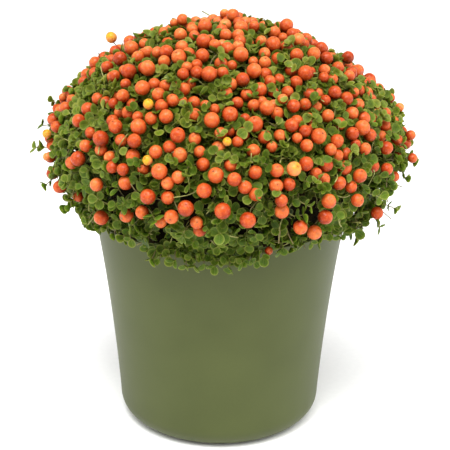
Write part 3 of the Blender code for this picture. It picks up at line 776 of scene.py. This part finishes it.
def add_stem(shape, path, radii, sides=4):
    """Adds a closed tapering stem along a path."""
    points, faces = [], []
    for i, (here, radius) in enumerate(zip(path, radii)):
        before, after = path[max(i - 1, 0)], path[min(i + 1, len(path) - 1)]
        ahead = (Vector(after) - Vector(before)).normalized()
        side = ahead.orthogonal() if i == 0 else side - ahead * side.dot(ahead)
        side.normalize()
        other = ahead.cross(side)
        for k in range(sides):
            angle = TURN * k / sides
            turned = side * math.cos(angle) + other * math.sin(angle)
            points.append(Vector(here) + turned * radius)
    for i in range(len(path) - 1):
        for k in range(sides):
            a, b = i * sides + k, i * sides + (k + 1) % sides
            faces.append((a, b, b + sides, a + sides))
    faces.append(tuple(range(sides))[::-1])
    faces.append(tuple(range(len(points) - sides, len(points))))
    shape.add(points, faces, stalk=1.0)


def make_sprig(number, draw):
    """A sprig's tip: one to three loose pairs of round leaves on a short bent stem."""
    shape = Shape()
    bend = Vector((draw.uniform(-2.5, 2.5), draw.uniform(-2.5, 2.5), 0)) * MM
    spin = draw.uniform(0, TURN)
    for level in SPRIG_KINDS[number % len(SPRIG_KINDS)]:
        height, length, pitches, age = SPRIG_LEVELS[level]
        spin += TURN / 4 + draw.uniform(-0.5, 0.5)
        for half in (0, 1):
            azimuth = spin + half * TURN / 2 + draw.uniform(-0.45, 0.45)
            long = length * draw.uniform(0.86, 1.14)
            root = bend * (height / SPRIG_DEPTH) ** 2
            root += Vector((math.cos(azimuth), math.sin(azimuth), 0)) * 0.35 * MM
            root.z = height + draw.uniform(-0.5, 0.5) * MM
            add_leaf(
                shape, root, azimuth, math.radians(draw.uniform(*pitches)),
                long, long * draw.uniform(0.96, 1.12),
                draw.choice((1.7, 1.4, 1.1, 0.5)) * MM * long / (5.2 * MM),
                draw.uniform(-0.6, 0.6),
                min(1, max(0, age + draw.uniform(-0.25, 0.25))),
                corners=12 if length > 4 * MM else 10,
            )
    heights = (1.2 * MM, -1.5 * MM, -4.5 * MM, -7.5 * MM)
    path = [bend * (z / SPRIG_DEPTH) ** 2 + Vector((0, 0, z)) for z in heights]
    add_stem(shape, path, (0.2 * MM, 0.24 * MM, 0.27 * MM, 0.3 * MM))
    return shape.made(f"sprig_{number}")


def make_pair(number, draw):
    """One pair of leaves, for the joints of a stray shoot."""
    shape = Shape()
    for half in (0, 1):
        long = 4.2 * MM * draw.uniform(0.85, 1.1)
        azimuth = half * TURN / 2 + draw.uniform(-0.3, 0.3)
        add_leaf(
            shape, (0, 0, 0), azimuth, math.radians(draw.uniform(10, 50)),
            long, long * draw.uniform(0.94, 1.08), draw.choice((1.0, 0.8, 0.5)) * MM,
            draw.uniform(-0.4, 0.4), draw.uniform(0.1, 0.6),
        )
    return shape.made(f"pair_{number}")


def make_runner(number, draw):
    """A stretch of thin creeping stem."""
    shape = Shape()
    length = draw.uniform(11, 19) * MM
    path = []
    for i in range(7):
        along = i / 6
        x = (along - 0.5) * length
        y = math.sin(along * 4 + number) * 2.2 * MM
        z = math.cos(along * 3 + 2 * number) * 1.3 * MM
        path.append(Vector((x, y, z)))
    add_stem(shape, path, [draw.uniform(0.24, 0.34) * MM] * 7)
    return shape.made(f"runner_{number}")


def make_berry(number):
    """A round berry of unit radius, its flower scar sunk in the top."""
    squat = (0.96, 1.0, 1.03)[number % 3]
    profile = [(0.0, -0.97)]
    for angle in np.radians((28, 52, 76, 100, 124, 146, 162)):
        profile.append((math.sin(angle), -math.cos(angle)))
    profile += [(0.15, 0.945), (0.0, 0.86)]
    rings, places = [], []
    for i, (r, z) in enumerate(profile):
        angles = [TURN * k / BERRY_SIDES for k in range(BERRY_SIDES if r else 1)]
        lumps = [r * (1 + 0.015 * math.sin(2 * angle + number + i)) for angle in angles]
        rings.append(
            [(r * math.cos(a), r * math.sin(a), z * squat) for r, a in zip(lumps, angles)]
        )
        places += [BERRY_POLAR[i]] * len(angles)
    berry = ringed(f"berry_{number}", rings)
    values = berry.data.attributes.new("polar", "FLOAT", "POINT")
    values.data.foreach_set("value", np.array(places, np.float32))
    return berry


def kinds(name, objects):
    """A tree's inputs for objects to copy: a collection outside the scene that holds them, and
    how many there are."""
    collection = bpy.data.collections.new(name)
    for made in objects:
        collection.objects.link(made)
    return {"Kinds": collection, "Count": len(objects)}


# Growing with nodes


def new_tree(name, **inputs):
    """(node tree, its way to add a node, its input sockets). Inputs are names, by their kind."""
    tree = bpy.data.node_groups.new(name, "GeometryNodeTree")
    for way in ("INPUT", "OUTPUT"):
        tree.interface.new_socket("Geometry", in_out=way, socket_type="NodeSocketGeometry")
    for kind, labels in inputs.items():
        for label in labels.split():
            tree.interface.new_socket(label, in_out="INPUT", socket_type=f"NodeSocket{kind}")
    add = partial(put, tree)
    return tree, add, add("NodeGroupInput").outputs


def planted(add, given, points, ahead, turn, size, chosen=True):
    """The kinds set on points, each point's a random one that looks ahead and is turned about
    its own axis. The copies are real geometry, and each has a tone of its own."""
    kind = add(
        "GeometryNodeCollectionInfo",
        {"Collection": given["Kinds"], "Separate Children": True, "Reset Children": True},
    )
    last = add(MINUS, (given["Count"], 1.0))
    which = add(RANDOM, {4: 0, 5: last, "Seed": 3}, data_type="INT")
    faced = add("FunctionNodeAlignRotationToVector", {"Vector": ahead})
    about = add("FunctionNodeAxisAngleToRotation", {"Axis": (0, 0, 1), "Angle": turn})
    turned = add("FunctionNodeRotateRotation", (faced, about), rotation_space="LOCAL")
    placed = add(
        "GeometryNodeInstanceOnPoints",
        {
            "Points": points, "Selection": chosen, "Instance": kind, "Pick Instance": True,
            "Instance Index": which, "Rotation": turned, "Scale": size,
        },
    )
    tone = add(RANDOM, {2: 0.0, 3: 1.0, "Seed": 13})
    toned = add(STORE, {"Geometry": placed, "Name": "tone", "Value": tone}, domain="INSTANCE")
    return add("GeometryNodeRealizeInstances", (toned,))


def leafed(add, given, whole):
    """Gives the blades and the stalks their materials, and ends the tree."""
    bladed = add("GeometryNodeSetMaterial", {"Geometry": whole, "Material": given["Blade"]})
    stalk = add(FIELD, ("stalk",))
    stalks = add(ABOVE, (stalk,))
    done = add(
        "GeometryNodeSetMaterial",
        {"Geometry": bladed, "Selection": stalks, "Material": given["Stalk"]},
    )
    add("NodeGroupOutput", (done,))


def sprig_tree():
    """The tree that spreads sprigs or runners over a patch of canopy. Round a berry that stands
    clear they sink and lean away, over a half hidden one they rise, and none cuts into one."""
    tree, add, given = new_tree(
        "sprigs_on_canopy",
        Float="Spacing Lowest Highest Tilt Smallest Largest Room Sink Gap",
        Object="Berries", Collection="Kinds", Int="Count Seed", Material="Blade Stalk",
    )
    spread = add(
        "GeometryNodeDistributePointsOnFaces",
        {
            "Mesh": given["Geometry"], "Distance Min": given["Spacing"], "Density Max": 1e6,
            "Density Factor": add(FIELD, ("fullness",)), "Seed": given["Seed"],
        },
        distribute_method="POISSON",
    )
    out = spread.outputs["Normal"]
    here = add("GeometryNodeInputPosition")
    berries = add("GeometryNodeObjectInfo", {"Object": given["Berries"]}).outputs["Geometry"]
    near = add("GeometryNodeProximity", (berries,), target_element="POINTS")
    which = add("GeometryNodeSampleNearest", (berries,))
    radius, clear = (
        add("GeometryNodeSampleIndex", (berries, add(FIELD, (name,)), which))
        for name in ("radius", "clear")
    )

    close = add(RANGE, (near.outputs["Distance"], 2.5 * MM, given["Room"], 1, 0))
    giving = add(TIMES, (close, clear))
    level = add(RANDOM, {2: given["Lowest"], 3: given["Highest"], "Seed": 11})
    # near the hem they stay outside the pot's rim
    height = add(AXES, (here,)).outputs["Z"]
    shallow = add(RANGE, (height, 110 * MM, 122 * MM, 0.25, 1))
    within = add(TIMES, (level, shallow))
    sunk = add(TIMES, (giving, given["Sink"]))
    lift = add(MINUS, (within, sunk))
    shift = add(SCALED, {0: out, "Scale": lift})
    moved = add("GeometryNodeSetPosition", {"Geometry": spread.outputs["Points"], "Offset": shift})
    # how deep inside each sprig sits, from 0 to 1, for the painted shade in its colour
    inner = add(RANGE, (within, given["Highest"], given["Lowest"], 0, 1))
    noted = add(STORE, {"Geometry": moved, "Name": "inner", "Value": inner})

    # the way each sprig looks: out, a little at random, away from a clear berry, and up
    apart = add(VECTOR_MINUS, (here, near.outputs["Position"]))
    away = add(UNIT, (apart,))
    wander = add(RANDOM, {0: (-1, -1, -1), 1: (1, 1, 1), "Seed": 5}, data_type="FLOAT_VECTOR")
    rising = add(RANGE, (height, 109 * MM, 145 * MM, 0.6, 0.2))
    up = add("ShaderNodeCombineXYZ", {"Z": rising})
    lean = add(TIMES, (giving, 0.7))
    ahead = out
    for way, by in ((wander, given["Tilt"]), (away, lean), (up, 1.0)):
        ahead = add(VECTOR_PLUS, (ahead, add(SCALED, {0: way, "Scale": by})))
    turn = add(RANDOM, {2: 0.0, 3: TURN, "Seed": 7})
    size = add(RANDOM, {2: given["Smallest"], 3: given["Largest"], "Seed": 9})
    whole = planted(add, given, noted, ahead, turn, size)

    # a leaf that would sit well inside a berry goes, and the others lie round it
    limit = add(PLUS, (radius, given["Gap"]))
    depth = add(OVER, (near.outputs["Distance"], limit))
    inside = add(BELOW, (depth, WELL_INSIDE))
    piece = add("GeometryNodeInputMeshIsland")
    count = add(
        "GeometryNodeAccumulateField", {0: inside, "Group ID": piece.outputs["Island Index"]}
    )
    lost = add(ABOVE, (count.outputs["Total"], MOST_INSIDE))
    kept = add("GeometryNodeDeleteGeometry", {"Geometry": whole, "Selection": lost})
    # the reach is about the distance outside a berry and never under its radius
    steep = add(POWER, (depth, PUSH))
    root = add(POWER, (add(PLUS, (steep, 1.0)), 1 / PUSH))
    reach = add(TIMES, (root, limit))
    place = add(VECTOR_TIMES_PLUS, (away, reach, near.outputs["Position"]))
    beside = add(BELOW, (depth, BESIDE))
    laid = add(
        "GeometryNodeSetPosition", {"Geometry": kept, "Selection": beside, "Position": place}
    )
    leafed(add, given, laid)
    return tree


def berry_tree():
    """The tree that sets a berry on each point."""
    tree, add, given = new_tree(
        "berries_on_points", Collection="Kinds", Int="Count", Material="Skin"
    )
    out = add(FIELD, ("out",), data_type="FLOAT_VECTOR")
    radius = add(FIELD, ("radius",))
    points = add("GeometryNodeMeshToPoints", {"Mesh": given["Geometry"], "Radius": radius})
    turn = add(RANDOM, {2: 0.0, 3: TURN, "Seed": 7})
    whole = planted(add, given, points, out, turn, radius)
    done = add("GeometryNodeSetMaterial", {"Geometry": whole, "Material": given["Skin"]})
    add("NodeGroupOutput", (done,))
    return tree


def shoot_tree():
    """The tree that turns a path into a stem with a pair of leaves at each joint."""
    tree, add, given = new_tree(
        "leafy_shoot",
        Float="Joint Radius", Collection="Kinds", Int="Count", Material="Blade Stalk",
    )
    path = add("GeometryNodeMeshToCurve", {"Mesh": given["Geometry"]})
    smooth, joints = (
        add("GeometryNodeResampleCurve", {"Curve": path, "Length": length}, mode="LENGTH")
        for length in (1.2 * MM, given["Joint"])
    )
    ring = add("GeometryNodeCurvePrimitiveCircle", {"Resolution": 5, "Radius": given["Radius"]})
    tube = add(
        "GeometryNodeCurveToMesh", {"Curve": smooth, "Profile Curve": ring, "Fill Caps": True}
    )
    stalk = add(STORE, {"Geometry": tube, "Name": "stalk", "Value": 1.0})
    leafy = add(FIELD, ("leafy",))
    bears = add(ABOVE, (leafy,))
    # their pairs look along the stem and out from the middle of the plant, a little at random
    along = add("GeometryNodeInputTangent")
    here = add("GeometryNodeInputPosition")
    middle = add(VECTOR_MINUS, (here, (0, 0, CANOPY_WIDEST_Z)))
    out = add(UNIT, (middle,))
    wander = add(
        RANDOM, {0: (-0.7, -0.7, -0.7), 1: (0.7, 0.7, 0.7), "Seed": 5}, data_type="FLOAT_VECTOR"
    )
    facing = add(VECTOR_PLUS, (out, wander))
    ahead = add(VECTOR_TIMES_PLUS, (along, (0.5, 0.5, 0.5), facing))
    number = add("GeometryNodeInputIndex")
    stray = add(RANDOM, {2: -0.4, 3: 0.4, "Seed": 7})
    crossed = add(TIMES_PLUS, (number, TURN / 4, stray))
    size = add(RANDOM, {2: 0.85, 3: 1.15, "Seed": 9})
    leaves = planted(add, given, joints, ahead, crossed, size, bears)
    joined = add("GeometryNodeJoinGeometry", (stalk,))
    tree.links.new(live(leaves), joined.inputs[0])
    leafed(add, given, joined)
    return tree


def host_of(name, points, edges=(), faces=(), **fields):
    """A scene object that a tree grows on, with named values at its points."""
    mesh = bpy.data.meshes.new(name)
    mesh.from_pydata([tuple(p) for p in points], list(edges), list(faces))
    for field, values in fields.items():
        values = np.array(values, np.float32)
        kind, slot = ("FLOAT_VECTOR", "vector") if values.ndim == 2 else ("FLOAT", "value")
        mesh.attributes.new(field, kind, "POINT").data.foreach_set(slot, values.ravel())
    return linked(bpy.data.objects.new(name, mesh))


def berry_host(name, places, *fields):
    """A host with a point for each berry, and these of its values."""
    values = {field: [place[field] for place in places] for field in fields}
    return host_of(name, [place["point"] for place in places], **values)


def grown(name, host, tree, inputs):
    """The plain mesh that a tree grows on a host, as a new object. The host is removed."""
    growth = host.modifiers.new("growth", "NODES")
    growth.node_group = tree
    for item in tree.interface.items_tree:
        if item.in_out == "INPUT" and item.name in inputs:
            growth[item.identifier] = inputs[item.name]
    graph = bpy.context.evaluated_depsgraph_get()
    graph.update()
    mesh = bpy.data.meshes.new_from_object(host.evaluated_get(graph), depsgraph=graph)
    mesh.name = name
    bpy.data.objects.remove(host)
    return linked(bpy.data.objects.new(name, mesh))


# The berries' places


def berry_places():
    """Each berry as a dict of where it sits, the way its tip looks, radius, ripeness and how
    clear it stands: those that the photograph shows, others on the sides that it doesn't, and
    smaller ones beside both."""
    draw = random.Random(41)
    places = []

    def add(azimuth, share, lift, radius, clear, ripeness=None):
        """Adds a berry, unless one is in the way. Without a ripeness it gets a usual one."""
        point, out = canopy_frame(azimuth, share)
        spot = point + out * lift
        if any(
            (spot - p["point"]).length < (radius + p["radius"]) * BERRY_OVERLAP for p in places
        ):
            return
        lean = Vector([draw.uniform(-1, 1) for _ in range(3)]) * 0.5 + Vector((0, 0, 0.5))
        if ripeness is None:
            ripeness = draw.uniform(*USUAL_RIPENESS)
        # the lower ripeness near the crown paints those berries paler as painted top light
        places.append(
            {
                "azimuth": azimuth, "share": share, "lift": lift, "point": spot,
                "out": (out + lean).normalized(), "radius": radius,
                "ripeness": ripeness - read_off(CROWN_PALER, share), "clear": clear,
            }
        )

    for azimuth, share, lift, radius, ripeness in PROUD_BERRIES:
        add(math.radians(azimuth), share, lift * MM, radius * MM, 1.0, ripeness)
    for table, lift, radii, clear in BERRY_TABLES:
        for share, azimuths in table.items():
            for azimuth in azimuths:
                yellow = (azimuth, share) in YELLOW_BERRIES
                add(
                    math.radians(azimuth),
                    share / 100,
                    (lift + draw.uniform(-BERRY_STRAY, BERRY_STRAY)) * MM,
                    draw.uniform(*radii) * MM,
                    clear,
                    YELLOW if yellow else draw.uniform(*USUAL_RIPENESS),
                )

    for _ in range(BERRY_TRIES):
        share = float(np.interp(draw.random() * AREA_ABOVE[-1], AREA_ABOVE, ALONG)) / ALONG[-1]
        azimuth = draw.random() * TURN
        point, out = canopy_frame(azimuth, share)
        facing = (CAMERA_PLACE - point).normalized().dot(out)
        shown = share > SHOWN_BELOW and facing > SHOWN_FACING
        if shown or draw.random() > read_off(RANDOM_SHARES, share):
            continue
        size = draw.random()
        lift = RANDOM_LIFT + RANDOM_LIFT_GAIN * size + draw.uniform(-BERRY_STRAY, BERRY_STRAY)
        radius = RANDOM_RADIUS + RANDOM_RADIUS_GAIN * size
        yellow = RANDOM_YELLOW if draw.random() < RANDOM_YELLOWS else None
        add(azimuth, share, lift * MM, radius * MM, float(size > 0.5), yellow)

    for near in list(places):
        for _ in range(BESIDE_TRIES):
            if draw.random() > read_off(BESIDE_SHARES, near["share"]):
                continue
            radius = draw.uniform(*BESIDE_RADII) * MM
            far = (radius + near["radius"]) * draw.uniform(1.0, 1.15)
            way = draw.uniform(0, TURN)
            across = float(np.interp(near["share"] * ALONG[-1], ALONG, OUTLINE[:, 0]))
            add(
                near["azimuth"] + far * math.sin(way) / max(across, far),
                max(0, near["share"] + far * math.cos(way) / ALONG[-1]),
                min(near["lift"], -2 * MM) - draw.uniform(0, BESIDE_DEEPER) * MM,
                radius,
                -0.2,
            )
    return places


# Making the object


def canopy_patches():
    """For each clump, (points, faces, fullness) of its patch of the canopy."""
    around, down = PATCHES_AROUND, PATCHES_DOWN
    grid = [
        [canopy_point(TURN * i / around, k / down) for i in range(around)]
        for k in range(down + 1)
    ]
    patches = {name: ([], [], []) for name in CLUMPS}
    for k in range(down):
        for i in range(around):
            j = (i + 1) % around
            corners = [grid[k + 1][i], grid[k + 1][j], grid[k][j], grid[k][i]]
            if k == 0:
                corners = [grid[1][i], grid[1][j], grid[0][0]]
            centre = sum(corners, Vector()) / len(corners)
            hem = HEM_SHARE + HEM_HANG_SHARE * hang(TURN * i / around)
            loose = read_off((*LOOSENESS, (hem - LOOSE_UP_TO, 0)), k / down)
            tufts = TUFT_THINNING - TUFT_CONTRAST * noise.noise(centre / TUFT_SIZE)
            full = min(1, max(LEAST_FULLNESS, 1 - loose * tufts))
            if (k + 1) / down > hem + HEM_SLACK:
                full = 0
            points, faces, fullness = patches[clump_of(centre)]
            faces.append(tuple(range(len(points), len(points) + len(corners))))
            points += corners
            fullness += [full] * len(corners)
    return patches


def shoot_paths():
    """For each clump, (points, edges, leafy values) of its stray shoots and berry stalks."""
    draw = random.Random(17)
    paths = {name: ([], [], []) for name in CLUMPS}

    def add(azimuth, share, reach, rise, aside, leafy):
        """Adds a path from inside the canopy out through it, which sags and wanders."""
        point, out = canopy_frame(math.radians(azimuth), share)
        up = (Vector((0, 0, 1)) - out * out.z).normalized()
        side = out.cross(up)
        lift = math.radians(rise)
        ahead = out * math.cos(lift) + up * math.sin(lift) + side * math.tan(math.radians(aside))
        ahead.normalize()
        points, edges, values = paths[clump_of(point)]
        first = len(points)
        here = point - out * SHOOT_ROOT
        for i in range(SHOOT_STEPS + 1):
            points.append(here.copy())
            values.append(leafy)
            bend = i / SHOOT_STEPS
            way = out * (1 - bend) + ahead * bend + Vector((0, 0, -SHOOT_SAG * bend * bend))
            wobble = Vector([draw.uniform(-1, 1) for _ in range(3)]) * SHOOT_WOBBLE
            way = (way.normalized() + wobble).normalized()
            here = here + way * (reach + SHOOT_ROOT) / SHOOT_STEPS
        edges += [(first + i, first + i + 1) for i in range(SHOOT_STEPS)]

    for azimuth, share, reach, rise, aside, leafy in STRAY_SHOOTS:
        add(azimuth, share, reach * MM, rise, aside, leafy)
    for i in range(FRINGE_SHOOTS):
        azimuth = 360 * (i + draw.uniform(-0.4, 0.4)) / FRINGE_SHOOTS
        low = hang(math.radians(azimuth))
        share = FRINGE_SHARE + FRINGE_LOWER * low + draw.uniform(0, FRINGE_STRAY)
        reach = FRINGE_REACH + FRINGE_FURTHER * low
        aside = draw.uniform(-FRINGE_ASIDE, FRINGE_ASIDE)
        add(azimuth, share, reach * MM, FRINGE_RISE, aside, 1)
    for azimuth, share, lift, radius, _ in PROUD_BERRIES:
        if lift > 0:
            add(azimuth, share, (lift - 0.8 * radius) * MM, 0, 0, 0)
    return paths


def ring_at(radius, height, sides, centre=(0, 0)):
    """A level ring of points, or the pole."""
    if radius < 1e-6:
        return [(*centre, height)]
    angles = [TURN * i / sides for i in range(sides)]
    return [
        (centre[0] + radius * math.cos(angle), centre[1] + radius * math.sin(angle), height)
        for angle in angles
    ]


def wall_radius(z):
    """The radius of the pot's outside at a height."""
    return POT_FOOT_RADIUS + POT_FLARE * z + POT_FLARE_GROWTH * z * z


def arc(centre, radius, start, end, steps):
    """(radius, height) points on an arc, its angles in degrees."""
    return [
        (centre[0] + radius * math.cos(angle), centre[1] + radius * math.sin(angle))
        for angle in np.radians(np.linspace(start, end, steps))
    ]


def make_pot(material):
    """The pot: a smooth flaring wall with a rounded foot and rim, a raised foot ring under it
    and six drain holes."""
    corner = POT_CORNER_RADIUS
    lip = POT_WALL / 2
    foot = wall_radius(corner) - corner
    floor = FOOT_RECESS + POT_FLOOR
    outside = [(0, 0), (FOOT_PAD_RADIUS, 0), (FOOT_PAD_RADIUS + FOOT_SLOPE, FOOT_RECESS)]
    outside += [(FOOT_RING_RADIUS - FOOT_SLOPE, FOOT_RECESS), (FOOT_RING_RADIUS, 0)]
    outside += arc((foot, corner), corner, -90, -2, 14)
    outside += [(wall_radius(z), z) for z in np.linspace(corner + 2 * MM, POT_HEIGHT - lip, 24)]
    outside += arc((wall_radius(POT_HEIGHT) - lip, POT_HEIGHT - lip), lip, 20, 160, 8)
    inside = [
        (wall_radius(z) - POT_WALL, z) for z in np.linspace(POT_HEIGHT - lip, corner + 2 * MM, 20)
    ]
    inside += arc((foot, corner), corner - POT_WALL, -4, -80, 10)
    inside += [(foot - 3 * MM, floor), (0, floor)]
    rings = [ring_at(r, z, POT_SEGMENTS) for r, z in outside + inside]
    pot = linked(ringed("pot_shell", rings))
    low, high = -1 * MM, 3 * POT_FLOOR
    levels = ((0, low), (DRAIN_HOLE_RADIUS, low), (DRAIN_HOLE_RADIUS, high), (0, high))
    for i in range(DRAIN_HOLES):
        angle = DRAIN_HOLE_SPIN + TURN * i / DRAIN_HOLES
        centre = (DRAIN_HOLE_RING * math.cos(angle), DRAIN_HOLE_RING * math.sin(angle))
        rings = [ring_at(r, z, DRAIN_HOLE_SIDES, centre) for r, z in levels]
        cutter = linked(ringed("cutter", rings))
        cut = pot.modifiers.new("cut", "BOOLEAN")
        cut.operation = "DIFFERENCE"
        cut.object = cutter
        graph = bpy.context.evaluated_depsgraph_get()
        mesh = bpy.data.meshes.new_from_object(pot.evaluated_get(graph))
        pot.modifiers.clear()
        pot.data = mesh
        bpy.data.objects.remove(cutter)
    pot.data.set_sharp_from_angle(angle=SHARP_ANGLE)
    pot.data.materials.clear()
    pot.data.materials.append(material)
    return pot


def make_peat(material):
    """The peat: it fills the pot to under its rim, and its top is crumbly."""
    gap = POT_WALL + PEAT_GAP
    low = FOOT_RECESS + POT_FLOOR + PEAT_GAP
    corner = POT_CORNER_RADIUS
    foot = wall_radius(corner) - corner
    profile = [(0, low), (foot * 0.6, low), (foot - 3 * MM, low)]
    profile += arc((foot, corner), corner - gap, -70, -4, 8)
    sides = np.linspace(corner + 3 * MM, PEAT_TOP - 2 * MM, 10)
    profile += [(wall_radius(z) - gap, z) for z in sides]
    top = wall_radius(PEAT_TOP) - gap
    inwards = (0.99, 0.96, 0.92, 0.87, 0.8, 0.7, 0.6, 0.5, 0.4, 0.3, 0.2, 0.1, 0)
    profile += [(top * share, PEAT_TOP) for share in inwards]
    rings = []
    for r, z in profile:
        ring = []
        for x, y, _ in ring_at(r, z, PEAT_SEGMENTS):
            lump = 0.0
            if z > PEAT_TOP - 1 * MM:
                lump = PEAT_LUMPS * noise.noise(Vector((x, y, 0)) / PEAT_LUMP_SIZE) - PEAT_SINK
            ring.append((x, y, z + lump))
        rings.append(ring)
    peat = linked(ringed("peat_fill", rings))
    peat.data.materials.append(material)
    return peat


def make_thatch(material):
    """The matted old stems under the canopy, which close the view between the leaves."""
    # its near-black material makes this a dark sheet of painted shade between the leaves
    plug = wall_radius(PEAT_TOP) - POT_WALL - 1.5 * MM
    rim = wall_radius(POT_HEIGHT) + 0.4 * MM
    base, over = PEAT_TOP + 1 * MM, POT_HEIGHT + 1 * MM
    profile = ((0, base), (plug, base), (plug, over), (rim, over))
    rings = [ring_at(r, z, THATCH_SEGMENTS) for r, z in profile]
    for share in np.linspace(HEM_SHARE, 0, THATCH_RINGS):
        depth = read_off(THATCH_DEPTHS, share) * MM
        if share == 0:
            rings.append([canopy_point(0, 0, -depth)])
            continue
        ring = []
        for i in range(THATCH_SEGMENTS):
            azimuth = TURN * i / THATCH_SEGMENTS
            lump = noise.noise(canopy_point(azimuth, share) / THATCH_LUMP_SIZE)
            point = canopy_point(azimuth, share, -depth + THATCH_LUMPS * lump)
            point.z = max(point.z, over + 0.5 * MM)
            ring.append(tuple(point))
        rings.append(ring)
    thatch = linked(ringed("thatch", rings))
    thatch.data.materials.append(material)
    return thatch


def dress(piece, slot, *nodes):
    """Sets a piece on the pot's body, in the place of the nodes it stands for."""
    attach(piece, "root")
    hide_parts(*nodes)


def main():
    blade = make_leaf_material()
    skin = make_berry_material()
    stalk = make_stem_material()
    draw = random.Random(7)
    sprigs = [make_sprig(i, draw) for i in range(SPRIG_MAKES)]
    pairs = [make_pair(i, draw) for i in range(PAIR_MAKES)]
    runners = [make_runner(i, draw) for i in range(RUNNER_MAKES)]
    berries = [make_berry(i) for i in range(BERRY_MAKES)]
    places = berry_places()
    all_berries = berry_host("all_berries", places, "radius", "clear")
    green = {"Blade": blade, "Stalk": stalk}
    foliage = green | {"Gap": BERRY_GAP, "Berries": all_berries}
    sprig_inputs = foliage | SPRIGS | kinds("sprigs", sprigs)
    runner_inputs = foliage | RUNNERS | kinds("runners", runners)
    berry_inputs = {"Skin": skin} | kinds("berries", berries)
    shoot_inputs = green | SHOOTS | kinds("pairs", pairs)

    on_canopy, on_points, on_paths = sprig_tree(), berry_tree(), shoot_tree()
    growths = (("leaves", sprig_inputs, LEAF_SEED), ("stems", runner_inputs, STEM_SEED))
    patches, paths = canopy_patches(), shoot_paths()
    for number, clump in enumerate(CLUMPS):
        points, faces, fullness = patches[clump]
        for piece, inputs, seed in growths:
            host = host_of("patch", points, faces=faces, fullness=fullness)
            seeded = inputs | {"Seed": seed + number}
            dress(grown(f"{clump}_{piece}", host, on_canopy, seeded), "foliage", clump)
        mine = [p for p in places if clump_of(p["point"]) == clump]
        host = berry_host("berry_points", mine, "out", "radius", "ripeness")
        dress(grown(f"{clump}_berries", host, on_points, berry_inputs), "foliage", clump)
        points, edges, leafy = paths[clump]
        if points:
            host = host_of("paths", points, edges=edges, leafy=leafy)
            dress(grown(f"{clump}_shoots", host, on_paths, shoot_inputs), "foliage", clump)
    for made in [all_berries] + sprigs + pairs + runners + berries:
        bpy.data.objects.remove(made)

    thatch = make_thatch(make_thatch_material())
    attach(thatch, "root")
    dress(make_pot(make_pot_material()), "pot_plastic", "pot")
    dress(make_peat(make_peat_material()), "peat", "peat")


def make_studio():
    """The pale floor, the soft lights and the camera."""
    floor = bpy.data.meshes.new("floor")
    far = FLOOR_REACH
    corners = [(-far, -far, 0), (far, -far, 0), (far, far, 0), (-far, far, 0)]
    floor.from_pydata(corners, [], [(0, 1, 2, 3)])
    floor.materials.append(make_floor_material())
    board = linked(bpy.data.objects.new("floor", floor))
    board.location.z = -FLOOR_DROP

    world = bpy.data.worlds.new("studio")
    world.use_nodes = True
    world.node_tree.nodes["Background"].inputs["Color"].default_value = (1, 1, 1, 1)
    world.node_tree.nodes["Background"].inputs["Strength"].default_value = WORLD_LIGHT
    bpy.context.scene.world = world

    sun = bpy.data.lights.new("overhead", "SUN")
    sun.energy = SUN_LIGHT
    sun.angle = SUN_WIDTH
    overhead = linked(bpy.data.objects.new("overhead", sun))
    overhead.rotation_euler = SUN_WAY.to_track_quat("-Z", "Y").to_euler()
    for name, place, width, watts in LAMPS:
        lamp = bpy.data.lights.new(name, "AREA")
        lamp.size = width
        lamp.energy = watts
        light = linked(bpy.data.objects.new(name, lamp))
        light.location = place
        light.rotation_euler = (LAMP_AIM - light.location).to_track_quat("-Z", "Y").to_euler()

    lens = bpy.data.cameras.new("camera")
    lens.lens = CAMERA_LENS
    lens.sensor_width = 36
    lens.clip_start = 0.01
    camera = linked(bpy.data.objects.new("camera", lens))
    camera.matrix_world = (
        Matrix.Translation(CAMERA_PLACE)
        @ Matrix.Rotation(TURN / 4 - CAMERA_PITCH, 4, "X")
        @ Matrix.Rotation(CAMERA_ROLL, 4, "Z")
    )
    bpy.context.scene.camera = camera
    bpy.context.scene.view_settings.view_transform = "Standard"


main()
make_studio()
